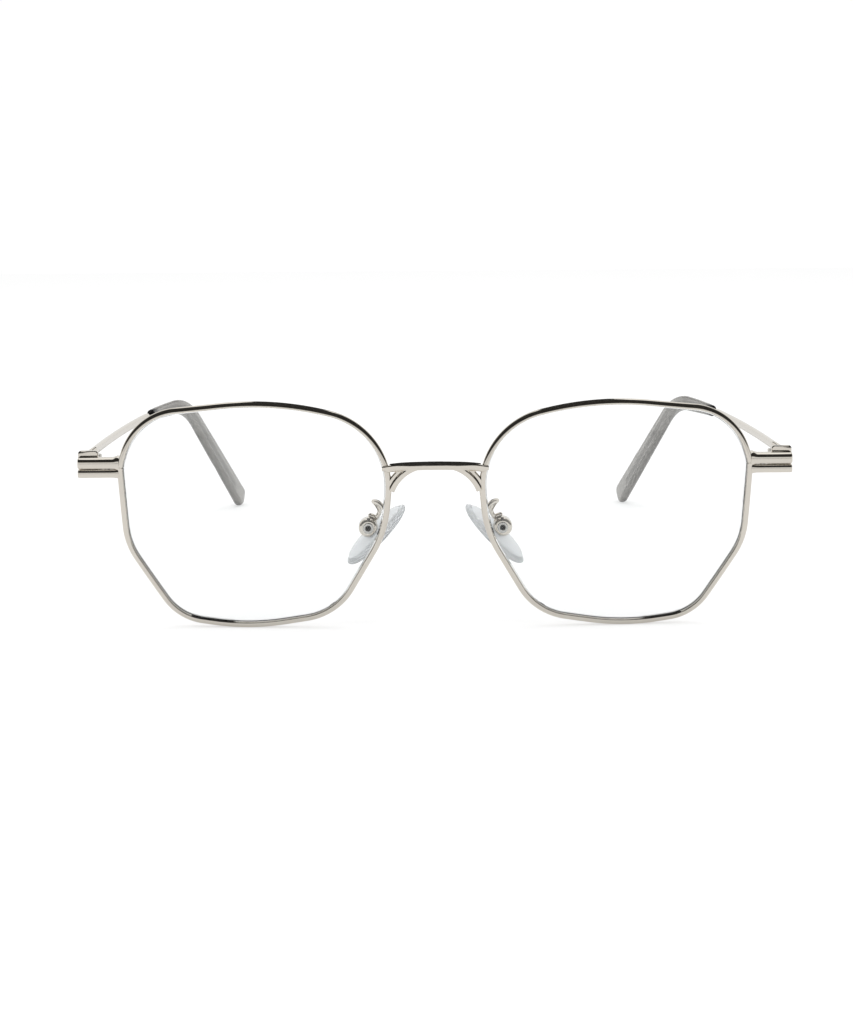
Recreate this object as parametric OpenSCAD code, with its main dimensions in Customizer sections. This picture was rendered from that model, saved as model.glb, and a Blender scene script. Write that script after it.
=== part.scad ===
// Metal eyeglasses with rounded six-sided eye wires, spring-wire pad arms and sleeved temples.
// Millimetres. X runs to the right as seen from the front, Y runs back to the ears and Z is up.
// They stand as on a table: on the lower edges of both eye wires and the ends of both tips.
// Each sided part is modelled on the right and mirrored for the left.

/* [Lenses] */
// Width of a lens
lens_w = 52.2; // [48:0.1:56]
// Height of a lens
lens_h = 44.5; // [41:0.5:47]
// Gap between the two lenses across the nose
lens_gap = 18.6; // [17:0.1:22]
// Thickness of a lens
lens_t = 1.3; // [1.1:0.1:1.5]
// Radius of the sphere that the front of a lens follows
base_radius = 130; // [90:1:260]
// Angle by which each eye wire turns back at its outer side
wrap_angle = 3; // [0:0.5:6]
// Angle by which the front leans back at its lower edge
front_tilt = 4.5; // [0:0.5:8]

/* [Eye wires] */
// Width of the eye wire as seen from the front
rim_face = 1.15; // [1:0.05:1.4]
// Depth of the eye wire from front to back
rim_depth = 2; // [1.9:0.1:2.6]
// Radius on the outer edges of the eye wire
rim_round = 0.45; // [0.2:0.05:0.5]
// Depth of the lens groove inside the eye wire
groove_depth = 0.5; // [0.3:0.05:0.6]
// Play between the lens edge and its groove
lens_play = 0.05; // [0.02:0.01:0.1]
// Gap where the eye wire is split for fitting the lens
split_gap = 0.16; // [0.1:0.02:0.3]

/* [Bridge] */
// Height of the bridge bar
bridge_bar_h = 1.5; // [1.2:0.1:2]
// Depth of the bridge from front to back
bridge_depth = 1.7; // [1.2:0.1:1.9]
// Thickness of the bar's ends, which lap over the fronts of the eye wires
bridge_lap = 0.35; // [0.2:0.05:0.6]
// Height of the bridge's upper edge above the lens centres, at the middle
bridge_rise = 10.6; // [8.5:0.1:12]
// Radius of the slight arch of the bridge's upper edge
bridge_arch_r = 150; // [60:1:250]
// Width of the legs under the bridge
bridge_leg_w = 2; // [0.8:0.1:2.2]
// Radius of the curves below the bridge, where its legs turn down
bridge_leg_r = 7.1; // [6.6:0.1:7.6]
// Distance between the centres of those two curves
bridge_leg_spread = 2.6; // [2:0.2:3.2]
// How far the legs reach down the eye wires below the bridge's upper edge
bridge_leg_drop = 5.6; // [4.4:0.2:7]

/* [End pieces] */
// Reach of an end piece from the eye wire to its outer face
end_reach = 7.7; // [6.5:0.1:10]
// Height of the upper bar of an end piece
upper_bar_h = 2.2; // [1.9:0.1:2.6]
// Height of the lower bar, which closes the eye wire
lower_bar_h = 1.7; // [1.4:0.1:2]
// Depth of both bars
end_bar_depth = 2; // [1.9:0.1:2.4]
// Radius along the upper front edge of the upper bar
bar_round = 0.8; // [0.5:0.05:0.9]
// Radius along the upper front edge of the lower bar
lower_bar_round = 0.5; // [0.3:0.05:0.7]
// Radius along the other edges of both bars
bar_edge = 0.3; // [0.15:0.05:0.4]
// Height of the seam between the bars above the lens centre
seam_rise = 9.4; // [7.5:0.1:10]
// Thickness of the leg that turns back to the hinge
end_leg_t = 1.3; // [1:0.1:1.6]
// Length of an end piece from its front to the seam at the temple
end_leg_len = 6.3; // [6:0.1:8]

/* [Rim screws] */
// Diameter of the shank of a rim screw
rim_screw_d = 1; // [0.8:0.1:1.1]
// Diameter of the head of a rim screw
rim_screw_head_d = 1.5; // [1.3:0.1:1.6]
// Height of the head of a rim screw
rim_screw_head_h = 0.45; // [0.3:0.05:0.6]
// Distance from the eye wire to the middle of a rim screw
rim_screw_in = 2; // [1.4:0.1:2.6]
// Metal above the blind thread of a rim screw
thread_cover = 0.6; // [0.4:0.05:0.8]
// Empty depth of the thread beyond the end of the screw
thread_run_out = 0.2; // [0.1:0.05:0.4]

/* [Hinges] */
// Outer radius of the hinge knuckles
knuckle_r = 1.15; // [1:0.05:1.3]
// Height of the whole hinge
hinge_h = 3.6; // [3:0.1:3.8]
// Height of the middle knuckle, which belongs to the temple
middle_knuckle_h = 1.2; // [1:0.1:1.4]
// Thickness of the hinge leaves
leaf_t = 0.3; // [0.25:0.05:0.5]
// Length of the hinge leaves
leaf_len = 2.9; // [2.4:0.1:3.2]
// Diameter of the hinge screw
hinge_screw_d = 1.2; // [1:0.05:1.3]
// Diameter of the head of the hinge screw
hinge_head_d = 1.8; // [1.6:0.1:2]
// Height of the head of the hinge screw
hinge_head_h = 0.4; // [0.3:0.05:0.5]
// Play between moving faces of the hinge
hinge_play = 0.06; // [0.04:0.01:0.1]
// Play round the hinge screw and the pad screw
screw_play = 0.03; // [0.02:0.01:0.06]

/* [Temples] */
// Thickness of the temple bar, side to side
temple_t = 1.1; // [0.9:0.1:1.3]
// Height of the temple bar
temple_h = 1.8; // [1.3:0.1:2.4]
// Height of the temple's butt at the hinge
butt_h = 3.4; // [2.8:0.1:3.8]
// Length of the straight butt
butt_len = 3.4; // [3.4:0.1:4.5]
// Length of the taper from the butt to the bar
taper_len = 7; // [5:0.5:10]
// How far the bar lies inwards from the butt
bar_inset = 1.1; // [0.6:0.1:1.4]
// How far the bar lies above the middle of the butt
bar_lift = 1.7; // [0.4:0.1:2]
// Angle at which the bar leans inwards where it starts to curve, having leaned in evenly from the butt
toe_in = 4.6; // [0:0.1:5]
// Angle at which the bar falls along its straight part
temple_fall = 1.7; // [0:0.1:2.4]
// Distance along the temple from the hinge to where it starts to curve inwards
curve_start = 64; // [50:1:70]
// Length over which the temple curves inwards
curve_len = 26; // [20:1:34]
// Angle at which the ear end leans inwards
tip_lean = 15; // [6:0.5:17]
// Distance along the temple from the hinge to the start of the ear bend
bend_start = 90.5; // [84:0.5:96]
// Radius of the ear bend
bend_radius = 24; // [20:1:34]
// Angle of the ear end below the horizontal
drop_angle = 38; // [34:0.5:44]

/* [Tips] */
// Distance along the temple from the hinge to the front end of the sleeve
sleeve_start = 73; // [68:1:78]
// Height of the sleeve at its front end
sleeve_front_h = 2.5; // [2.3:0.1:3]
// Height of the sleeve at its ear end
sleeve_end_h = 5; // [4:0.1:6]
// Thickness of the sleeve at its front end
sleeve_front_t = 1.9; // [1.7:0.1:2.2]
// Thickness of the sleeve at its ear end
sleeve_end_t = 2.2; // [2:0.1:2.6]
// Height of the core wire inside the sleeve
core_h = 1.3; // [1.1:0.1:1.5]
// Thickness of the core wire inside the sleeve
core_t = 0.9; // [0.7:0.1:1]
// Solid length of the sleeve beyond the core wire
sleeve_plug = 6; // [4:0.5:9]
// Play between the core wire and the sleeve
core_play = 0.05; // [0.02:0.01:0.1]

/* [Nose pads] */
// Length of a nose pad
pad_len = 16; // [13:0.5:17]
// Width of a nose pad
pad_w = 7.6; // [6.5:0.1:8]
// Thickness of a nose pad
pad_t = 1.9; // [1.7:0.1:2.4]
// Lean of the pads from the vertical, as seen from the front
pad_lean = 45; // [40:1:48]
// Angle by which the pads open towards the face
pad_splay = 18; // [10:1:22]
// Distance of a pad screw from the middle of the bridge
pad_screw_x = 13.3; // [13:0.1:14]
// Height of a pad screw below the lens centres
pad_screw_drop = 3.2; // [2.8:0.1:4.4]
// Distance from the front of the bridge to the front end of a pad screw's box
pad_box_back = 5.6; // [5:0.1:6.6]
// Radius of the round box that holds a pad
box_r = 1.8; // [1.7:0.1:1.9]
// Length of the round box from front to back
box_len = 2.9; // [2.7:0.1:3.2]
// Distance from a pad screw to the flat side of its box, which faces the pad
box_flat = 0.95; // [0.9:0.05:1]
// Width of the slot in the box
box_slot = 1.3; // [1.1:0.1:1.5]
// Diameter of a pad screw
pad_screw_d = 1; // [0.9:0.1:1.1]
// Diameter of the head of a pad screw
pad_head_d = 2.1; // [1.8:0.1:2.3]
// Height of the head of a pad screw
pad_head_h = 0.4; // [0.3:0.05:0.5]
// Distance from a pad screw to the back of its pad
pad_standoff = 1.4; // [1.4:0.1:1.8]
// Radius of the pad's lug round the screw
lug_r = 0.95; // [0.85:0.05:1]
// How deep the lug is moulded into the pad
lug_embed = 0.5; // [0.4:0.1:0.8]
// Play between the pad's lug and its slot, on each side
lug_play = 0.08; // [0.05:0.01:0.12]
// Play between the round end of the lug and the bottom of the slot
lug_swing_play = 0.2; // [0.1:0.05:0.3]
// Diameter of the wire of a pad arm
arm_d = 0.9; // [0.8:0.1:1]
// Height of a pad arm's root above the lens centres
arm_rise = 0.8; // [0:0.1:1.5]
// Angle above the horizontal at which a pad arm ends on its box
arm_landing = 100; // [90:5:110]

/* [Hidden] */
$fn = 48;
metal = [0.82, 0.8, 0.76];
screw_steel = [0.7, 0.7, 0.7];
clear_lens = [0.85, 0.92, 0.95, 0.35];
smoke = [0.35, 0.35, 0.35, 0.85];
silicone = [0.85, 0.9, 0.95, 0.7];
eps = 0.01;

// Corners of the lens shape in counterclockwise order, from the middle of a right lens:
// across, up and corner radius. The first is the outer side, where the eye wire is split.
half_w = lens_w / 2;
half_h = lens_h / 2;
lens_corners = [
    [half_w + 0.2, seam_rise + 0.2, 6],
    [half_w - 3.05, half_h - 2.45, 12.7],
    [-3.85, half_h + 0.8, 56.5],
    [-half_w - 1.3, half_h - 5, 15.1],
    [0.7 - half_w, -3.2, 21.2],
    [10.45 - half_w, 2.35 - half_h, 12.3],
    [1.65, -half_h - 0.35, 50],
    [half_w - 10.55, 1.3 - half_h, 9.8],
    [half_w - 0.8, -5.95, 13]
];
// The radii suit a lens of this size or more and shrink with a smaller one, whose sides are shorter.
full_round_w = 52.2;
full_round_h = 44.5;
round_share = min(1, lens_w / full_round_w, lens_h / full_round_h);
arc_step = 3;
arc_step_angle = 10;
line_step = 6;

function unit(v) = v / norm(v);
function side_normal(a, b) = let (d = unit(b - a)) [d.y, -d.x];
function flat2(v) = [v.x, v.y];
function angle_of(v) = (atan2(v.y, v.x) + 360) % 360;
function wrap_corner(i) = lens_corners[(i + len(lens_corners)) % len(lens_corners)];

// One corner of the lens shape as [arc centre x, arc centre z, radius, first angle, last angle]
function corner_arc(i) =
    let (
        a = flat2(wrap_corner(i - 1)), b = flat2(wrap_corner(i)), c = flat2(wrap_corner(i + 1)),
        r = round_share * wrap_corner(i)[2], n0 = side_normal(a, b), n1 = side_normal(b, c),
        o = b - r * (n0 + n1) / (1 + n0 * n1), a0 = angle_of(n0), turn = (angle_of(n1) - a0 + 360) % 360
    ) [o.x, o.y, r, a0, a0 + turn];

// Stations along an arc, each [centre x, centre z, radius, angle], so that an offset keeps the arc true
function arc_stations(arc, a0, a1) =
    let (n = ceil(max((a1 - a0) / arc_step_angle, arc[2] * (a1 - a0) * PI / 180 / arc_step)))
    [for (k = [0:n]) [arc[0], arc[1], arc[2], a0 + (a1 - a0) * k / n]];

function station_point(s, out) = [s[0] + (s[2] + out) * cos(s[3]), s[1] + (s[2] + out) * sin(s[3])];

// Stations inside the straight side between two arcs
function line_stations(arc, next) =
    let (
        p = station_point([arc[0], arc[1], arc[2], arc[4]], 0),
        q = station_point([next[0], next[1], next[2], next[3]], 0),
        n = ceil(norm(q - p) / line_step)
    ) n < 2 ? [] : [for (k = [1:n - 1]) let (m = p + (q - p) * k / n) [m.x, m.y, 0, arc[4]]];

arcs = [for (i = [0:len(lens_corners) - 1]) corner_arc(i)];
outer_arc = arcs[0];
split_angle = asin((seam_rise - outer_arc[1]) / (outer_arc[2] + rim_face / 2)) + 360;
split_half = split_gap / 2 / outer_arc[2] * 180 / PI;
middle_stations = [for (i = [1:len(arcs) - 1])
    each concat(arc_stations(arcs[i], arcs[i][3], arcs[i][4]),
        line_stations(arcs[i], arcs[(i + 1) % len(arcs)]))];
// The eye wire starts above its split and ends below it; the lens goes all the way round.
rim_stations = concat(arc_stations(outer_arc, split_angle + split_half, outer_arc[4]),
    line_stations(outer_arc, arcs[1]), middle_stations,
    arc_stations(outer_arc, outer_arc[3], split_angle - split_half));
lens_stations = concat(arc_stations(outer_arc, outer_arc[3], outer_arc[4]),
    line_stations(outer_arc, arcs[1]), middle_stations);

// Places on the front. A flat point and a depth behind the front surface go onto the sphere,
// then the right eye wire turns by its wrap, moves out and leans.
eye_x = (lens_gap + lens_w) / 2;
function on_sphere(x, z, depth) =
    let (k = (base_radius - depth) / base_radius)
    [k * x, base_radius - k * sqrt(base_radius * base_radius - x * x - z * z), k * z];
function wrap(p) = [eye_x + p.x * cos(wrap_angle) - p.y * sin(wrap_angle),
    p.x * sin(wrap_angle) + p.y * cos(wrap_angle), p.z];
function lean(p) = [p.x, p.y * cos(front_tilt) - p.z * sin(front_tilt),
    p.y * sin(front_tilt) + p.z * cos(front_tilt)];
function eye_point(s, out, depth) =
    let (p = station_point(s, out)) lean(wrap(on_sphere(p.x, p.y, depth)));

// Section of the eye wire as [outwards from the lens edge, depth], with the lens groove inside
rim_in = -groove_depth;
rim_out = rim_face - groove_depth;
groove_mid = rim_depth / 2;
inner_round = 0.2;
function corner2(x, y, r, a0, n) =
    [for (k = [0:n]) [x + r * cos(a0 + 90 * k / n), y + r * sin(a0 + 90 * k / n)]];
rim_section = concat(
    [[rim_in, groove_mid + groove_depth], [lens_play, groove_mid], [rim_in, groove_mid - groove_depth]],
    corner2(rim_in + inner_round, inner_round, inner_round, 180, 1),
    corner2(rim_out - rim_round, rim_round, rim_round, 270, 2),
    corner2(rim_out - rim_round, rim_depth - rim_round, rim_round, 0, 2),
    corner2(rim_in + inner_round, rim_depth - inner_round, inner_round, 90, 1));
rim_rings = [for (i = [len(rim_stations) - 1:-1:0])
    [for (q = rim_section) eye_point(rim_stations[i], q.x, q.y)]];
rim_low = min([for (ring = rim_rings) for (p = ring) p.z]);
rim_front = min([for (ring = rim_rings) for (p = ring) p.y]);
front_z = -rim_low;
lens_bevel = groove_depth;
leg_merge = 0.35;
// Foremost place of the eye wires where the bridge's bar lies on them, before the front leans
bridge_seat_y = min([for (s = rim_stations) for (out = [rim_in + inner_round, rim_out])
    let (p = station_point(s, out), q = wrap(on_sphere(p.x, p.y, 0)))
    if (p.x < 0 && q.z > bridge_rise - 2 * bridge_bar_h && q.z < bridge_rise + bridge_bar_h) q.y]);
lens_shoulder = -groove_depth - 2 * lens_play;
lens_front = groove_mid - lens_t / 2;
lens_back = groove_mid + lens_t / 2;
// Shares of the outline at which the faces of a lens have a ring of points
face_shares = [0.02, 0.36, 0.7];

// End pieces and hinges stand upright, with their heights counted from the seam.
seam_z = front_z + seam_rise;
end_mid_z = seam_z + (upper_bar_h - lower_bar_h) / 2;
seam_station = [outer_arc[0], outer_arc[1], outer_arc[2], split_angle];
seam_out = eye_point(seam_station, rim_out, groove_mid);
end_in_x = max([for (ring = rim_rings) for (p = ring)
    if (abs(p.z - seam_rise) < max(upper_bar_h, lower_bar_h)) p.x]);
end_out_x = end_in_x + end_reach;
end_front_y = seam_out.y - end_bar_depth / 2;
end_seam_y = end_front_y + end_leg_len;
bar_gap = split_gap / 2;
rim_screw_x = end_in_x + rim_screw_in;
rim_screw_y = end_front_y + end_bar_depth / 2;
thread_len = upper_bar_h - thread_cover;

// The hinge pin stands level with the seam between end piece and temple.
leaf_in_x = end_out_x - end_leg_t - leaf_t;
hinge_x = leaf_in_x - knuckle_r - hinge_play;
hinge_y = end_seam_y;
hinge_low = end_mid_z - hinge_h / 2;
hinge_top = end_mid_z + hinge_h / 2;
middle_low = end_mid_z - middle_knuckle_h / 2;
middle_top = end_mid_z + middle_knuckle_h / 2;

// The temple is swept along its middle. Its heading and fall change with the distance along it.
butt_step = 0.2;
taper_step = 1.5;
bar_step = 9;
sweep_step = 3;
core_lead = 4;
nose_len = 0.4;
nose_cut = 0.3;
cap_steps = 4;
cap_sweep = 80;
cap_thin = 0.35;
sleeve_swell = 0.8;
sleeve_round = 0.95;
bar_edge_r = 0.42;
butt_round = 0.2;
flat_min = 0.02;
temple_x = end_out_x - end_leg_t / 2;
bend_len = bend_radius * (drop_angle - temple_fall) * PI / 180;
bar_z = end_mid_z + bar_lift;
sleeve_end_r = sleeve_end_h / 2;
bend_end_z = bar_z - (bend_start - butt_len) * sin(temple_fall)
    - bend_radius * (cos(temple_fall) - cos(drop_angle));
drop_len = (bend_end_z - sleeve_end_r) / sin(drop_angle);
temple_len = bend_start + bend_len + drop_len;
function share(s, start, length) = min(1, max(0, (s - start) / length));
function ease(t) = t * t * (3 - 2 * t);
function heading(s) = toe_in * share(s, butt_len, curve_start - butt_len)
    + (tip_lean - toe_in) * share(s, curve_start, curve_len);
function fall(s) = s < butt_len ? 0 : temple_fall + (drop_angle - temple_fall) * share(s, bend_start, bend_len);
function along(s) = [-sin(heading(s)) * cos(fall(s)), cos(heading(s)) * cos(fall(s)), -sin(fall(s))];
// Where the middle of the sweep is at each station, added up from the one before
function walk(stations) = [for (i = 0, p = [temple_x, end_seam_y + hinge_play, end_mid_z];
    i < len(stations);
    p = i + 1 < len(stations)
        ? p + (stations[i + 1] - stations[i]) * along((stations[i] + stations[i + 1]) / 2) : p,
    i = i + 1) p];
function bar_shift(s) = let (t = ease(share(s, butt_len, taper_len))) [-bar_inset * t, 0, bar_lift * t];
function sweep_ring(p, s, section) =
    let (h = heading(s), f = fall(s), side = [cos(h), sin(h), 0],
        up = [-sin(h) * sin(f), cos(h) * sin(f), cos(f)])
    [for (q = section) p + q.x * side + q.y * up];
// A rectangle with rounded corners, n steps to a corner
function round_rect(w, h, r, n) = concat(
    corner2(w / 2 - r, h / 2 - r, r, 0, n), corner2(r - w / 2, h / 2 - r, r, 90, n),
    corner2(r - w / 2, r - h / 2, r, 180, n), corner2(w / 2 - r, r - h / 2, r, 270, n));
taper_end = butt_len + taper_len;
core_end = temple_len - sleeve_plug;
core_from = sleeve_start - core_lead;
function steps(from, to, longest) =
    let (n = ceil((to - from) / longest)) [for (k = [0:n]) from + (to - from) * k / n];

// Stations along the bar up to the sleeve, along the core wire in it, and beyond the core wire
bar_stations = concat([0, butt_len - butt_step], steps(butt_len, taper_end, taper_step),
    steps(taper_end + bar_step, core_from, bar_step), [core_from + core_lead / 2, sleeve_start - core_play]);
core_stations = concat([sleeve_start], steps(sleeve_start + nose_len, core_end, sweep_step));
plug_stations = concat([core_end + core_play, temple_len],
    [for (k = [1:cap_steps]) temple_len + sleeve_end_r * sin(cap_sweep * k / cap_steps)]);
stations = concat(bar_stations, core_stations, plug_stations);
sleeve_from = len(bar_stations);
plug_from = sleeve_from + len(core_stations);
path = walk(stations);

function bar_section(s) =
    let (t = ease(share(s, butt_len, taper_len)), c = share(s, core_from, core_lead / 2),
        w = end_leg_t + (temple_t - end_leg_t) * t + (core_t - temple_t) * c,
        h = butt_h + (temple_h - butt_h) * t + (core_h - temple_h) * c,
        r = butt_round + (bar_edge_r - butt_round) * t)
    round_rect(w, h, min(r, w / 2 - flat_min), 2);
bore_section = round_rect(core_t + 2 * core_play, core_h + 2 * core_play,
    min(bar_edge_r, core_t / 2 - flat_min) + core_play, 2);
function sleeve_section(s) =
    let (t = share(s, sleeve_start, temple_len - sleeve_start),
        over = max(0, s - temple_len) / sleeve_end_r,
        cap = sqrt(max(0, 1 - over * over)),
        w = (sleeve_front_t + (sleeve_end_t - sleeve_front_t) * t) * (cap_thin + (1 - cap_thin) * cap),
        h = (sleeve_front_h + (sleeve_end_h - sleeve_front_h) * pow(t, sleeve_swell)) * cap,
        cut = s > sleeve_start ? 0 : nose_cut)
    round_rect(w - cut, h - cut, min(sleeve_round, w / 2 - cut, h / 2 - flat_min), 2);
function placed(i, section) = sweep_ring(path[i] + bar_shift(stations[i]), stations[i], section);
sleeve_back_y = max([for (i = [plug_from:len(stations) - 1])
    for (q = placed(i, sleeve_section(stations[i]))) q.y]);
// The middle of the whole length lies over the origin.
middle_y = (rim_front + sleeve_back_y) / 2;

// Pads and their arms. An arm leaves the back of the eye wire squarely, makes a loop and lies down
// along the top of the box. Its bends are counted from its root.
pad_screw = [pad_screw_x, bridge_seat_y + pad_box_back + box_len / 2, front_z - pad_screw_drop];
arm_steps = 4;
arm_sides = 8;
arm_lead = 0.7;
arm_lay_step = 15;
arm_upright = [0, 0.35, 1];
arm_bends = [[1.3, 1.6, 1.2], [2.4, 2.9, 1.3], [1.9, 4.1, 0.5], [1.3, 4.8, -0.9], [1.8, 5, -2.1]];
braze_gap = 0.02;
nose_arc = arcs[4];
arm_angle = 180 - asin((arm_rise - nose_arc[1]) / nose_arc[2]);
function arm_root(back) = eye_point([nose_arc[0], nose_arc[1], nose_arc[2], arm_angle],
    rim_in + rim_face / 2, rim_depth + back) + [0, 0, front_z];
function round_box(angle) = pad_screw + (box_r + arm_d / 2 + braze_gap) * [cos(angle), 0, sin(angle)];
arm_route = concat([arm_root(0), arm_root(arm_lead)], [for (b = arm_bends) arm_root(0) + b],
    [for (k = [2:-1:0]) round_box(arm_landing + k * arm_lay_step)]);
function spline(p, steps) = [for (i = [0:len(p) - 2]) for (k = [0:steps - 1])
    let (a = p[max(0, i - 1)], b = p[i], c = p[i + 1], d = p[min(len(p) - 1, i + 2)], t = k / steps)
    0.5 * (2 * b + (c - a) * t + (2 * a - 5 * b + 4 * c - d) * t * t + (3 * b - a - 3 * c + d) * t * t * t)];
arm_points = concat(spline(arm_route, arm_steps), [arm_route[len(arm_route) - 1]]);
function turn_at(p, i) = unit(p[min(i + 1, len(p) - 1)] - p[max(i - 1, 0)]);

// A pad is an egg-shaped cushion. Each ring is a share of its outline at a share of its thickness.
pad_sides = 20;
pad_egg = 0.1;
pad_profile = [[0.7, 0], [0.9, 0.25], [1, 0.45], [0.97, 0.7], [0.8, 0.92], [0.45, 1]];
lug_t = box_slot - 2 * lug_play;

// A closed skin through rings of equal count, with a fan over each end. Seen from the first ring
// towards the last, the points of each ring run counterclockwise.
module skin(rings) {
    n = len(rings[0]);
    m = len(rings);
    mid = function(ring) [for (k = [0:2]) [for (p = ring) p[k]] * [for (p = ring) 1 / n]];
    points = concat([for (ring = rings) each ring], [mid(rings[0]), mid(rings[m - 1])]);
    walls = [for (i = [0:m - 2]) for (k = [0:n - 1])
        let (a = i * n + k, b = i * n + (k + 1) % n, c = a + n, d = b + n)
        each [[a, b, c], [b, d, c]]];
    first = [for (k = [0:n - 1]) [m * n, (k + 1) % n, k]];
    last = [for (k = [0:n - 1]) [m * n + 1, (m - 1) * n + k, (m - 1) * n + (k + 1) % n]];
    polyhedron(points, concat(walls, first, last));
}

// What rounding takes off one corner of a section, seen from the front and below where far is 0
module corner_cut(x, y, r) {
    translate([x, y]) mirror([x > 0 ? 1 : 0, 0]) mirror([0, y > 0 ? 1 : 0]) difference() {
        translate([-eps, -eps]) square(r + eps);
        translate([r, r]) circle(r);
    }
}

// The section of an end piece's bar, with its upper front edge rounded most
module end_section(depth, height, front_round) {
    difference() {
        square([depth, height]);
        corner_cut(0, height, front_round);
        corner_cut(0, 0, bar_edge);
        corner_cut(depth, 0, bar_edge);
        corner_cut(depth, height, bar_edge);
    }
}

module rim() {
    color(metal) translate([0, 0, front_z]) skin(rim_rings);
}

module lens() {
    edge = [for (s = lens_stations) station_point(s, lens_shoulder)];
    face_ring = function(f, depth) [for (p = edge) lean(wrap(on_sphere(p.x * f, p.y * f, depth)))];
    edge_ring = function(out, depth) [for (s = lens_stations) eye_point(s, out, depth)];
    color(clear_lens) translate([0, 0, front_z]) skin(concat(
        [for (f = face_shares) face_ring(f, lens_front)],
        [edge_ring(lens_shoulder, lens_front), edge_ring(lens_shoulder, groove_mid - lens_bevel),
            edge_ring(0, groove_mid), edge_ring(lens_shoulder, groove_mid + lens_bevel),
            edge_ring(lens_shoulder, lens_back)],
        [for (i = [len(face_shares) - 1:-1:0]) face_ring(face_shares[i], lens_back)]));
}

// The bar's ends lap over the fronts of the eye wires. All behind that is cut to the wires' outer sides.
module bridge() {
    leg_mid_z = bridge_rise - bridge_bar_h - bridge_leg_r + leg_merge;
    bar_reach = lens_gap / 2 + 2 * rim_face;
    module arch() {
        intersection() {
            difference() {
                translate([0, bridge_rise - bridge_arch_r]) circle(bridge_arch_r, $fn = 180);
                translate([0, bridge_rise - bridge_arch_r - bridge_bar_h]) circle(bridge_arch_r, $fn = 180);
            }
            translate([-bar_reach, bridge_rise - 2 * bridge_bar_h]) square([2 * bar_reach, 2 * bridge_bar_h]);
        }
    }
    module legs() {
        for (side = [0, 1]) mirror([side, 0]) intersection() {
            translate([bridge_leg_spread / 2, leg_mid_z]) difference() {
                circle(bridge_leg_r + bridge_leg_w);
                circle(bridge_leg_r);
            }
            translate([0, bridge_rise - bridge_leg_drop])
                square([bar_reach, bridge_leg_drop - bridge_bar_h / 2]);
        }
    }
    // What lies inside the eye wires, out to a distance from the lens edge
    module eyes(out) {
        for (side = [-1, 1]) polygon([for (s = rim_stations)
            let (p = station_point(s, out), q = wrap(on_sphere(p.x, p.y, 0))) [side * q.x, q.z]]);
    }
    color(metal) translate([0, 0, front_z]) rotate([front_tilt, 0, 0])
        translate([0, bridge_seat_y - bridge_lap + bridge_depth, 0]) rotate([90, 0, 0]) {
            linear_extrude(bridge_depth - bridge_lap) difference() {
                union() {
                    arch();
                    legs();
                }
                eyes(rim_out);
            }
            translate([0, 0, bridge_depth - bridge_lap]) linear_extrude(bridge_lap) {
                difference() {
                    arch();
                    eyes(rim_in);
                }
                difference() {
                    legs();
                    eyes(rim_out);
                }
            }
        }
}

// The upper bar turns back as a leg, which stands just clear of the lock bar's back.
module end_piece() {
    leg_x = end_out_x - end_leg_t;
    bars_back_y = end_front_y + end_bar_depth;
    color(metal) difference() {
        union() {
            translate([end_in_x, end_front_y, seam_z + bar_gap]) rotate([90, 0, 90])
                linear_extrude(end_reach) end_section(end_bar_depth, upper_bar_h - bar_gap, bar_round);
            translate([leg_x, bars_back_y - bar_edge, seam_z + bar_gap])
                cube([end_leg_t, end_seam_y - bars_back_y + bar_edge, upper_bar_h - bar_gap]);
            translate([leg_x, bars_back_y + bar_gap, seam_z - lower_bar_h])
                cube([end_leg_t, end_seam_y - bars_back_y - bar_gap, upper_bar_h + lower_bar_h]);
        }
        translate([rim_screw_x, rim_screw_y, seam_z]) cylinder(d = rim_screw_d, h = thread_len);
    }
}

module lock_bar() {
    color(metal) difference() {
        translate([end_in_x, end_front_y, seam_z - lower_bar_h]) rotate([90, 0, 90])
            linear_extrude(end_reach) end_section(end_bar_depth, lower_bar_h - bar_gap, lower_bar_round);
        translate([rim_screw_x, rim_screw_y, seam_z - lower_bar_h - eps]) {
            cylinder(d = rim_screw_d + 2 * screw_play, h = lower_bar_h);
            cylinder(d = rim_screw_head_d + 2 * screw_play, h = rim_screw_head_h + eps);
        }
    }
}

module rim_screw() {
    color(screw_steel) translate([rim_screw_x, rim_screw_y, seam_z - lower_bar_h]) {
        cylinder(d = rim_screw_head_d, h = rim_screw_head_h);
        cylinder(d = rim_screw_d, h = lower_bar_h + thread_len - thread_run_out);
    }
}

module front_hinge() {
    color(metal) difference() {
        union() {
            for (z = [[hinge_low, middle_low - hinge_play], [middle_top + hinge_play, hinge_top]])
                translate([hinge_x, hinge_y, z[0]]) {
                    cylinder(r = knuckle_r, h = z[1] - z[0]);
                    translate([0, -knuckle_r, 0]) cube([leaf_in_x - hinge_x + eps, knuckle_r, z[1] - z[0]]);
                }
            translate([leaf_in_x, hinge_y - leaf_len, hinge_low]) cube([leaf_t, leaf_len, hinge_h]);
        }
        translate([hinge_x, hinge_y, hinge_low - eps]) cylinder(d = hinge_screw_d, h = hinge_h);
        translate([hinge_x, hinge_y, hinge_top - hinge_head_h])
            cylinder(d = hinge_head_d + 2 * screw_play, h = hinge_head_h + eps);
    }
}

module temple_hinge() {
    color(metal) difference() {
        union() {
            translate([hinge_x, hinge_y, middle_low]) {
                cylinder(r = knuckle_r, h = middle_knuckle_h);
                cube([leaf_in_x - hinge_x + eps, knuckle_r, middle_knuckle_h]);
            }
            translate([leaf_in_x, hinge_y + hinge_play, hinge_low]) cube([leaf_t, leaf_len, hinge_h]);
        }
        translate([hinge_x, hinge_y, middle_low - eps])
            cylinder(d = hinge_screw_d + 2 * screw_play, h = middle_knuckle_h + 2 * eps);
    }
}

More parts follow.
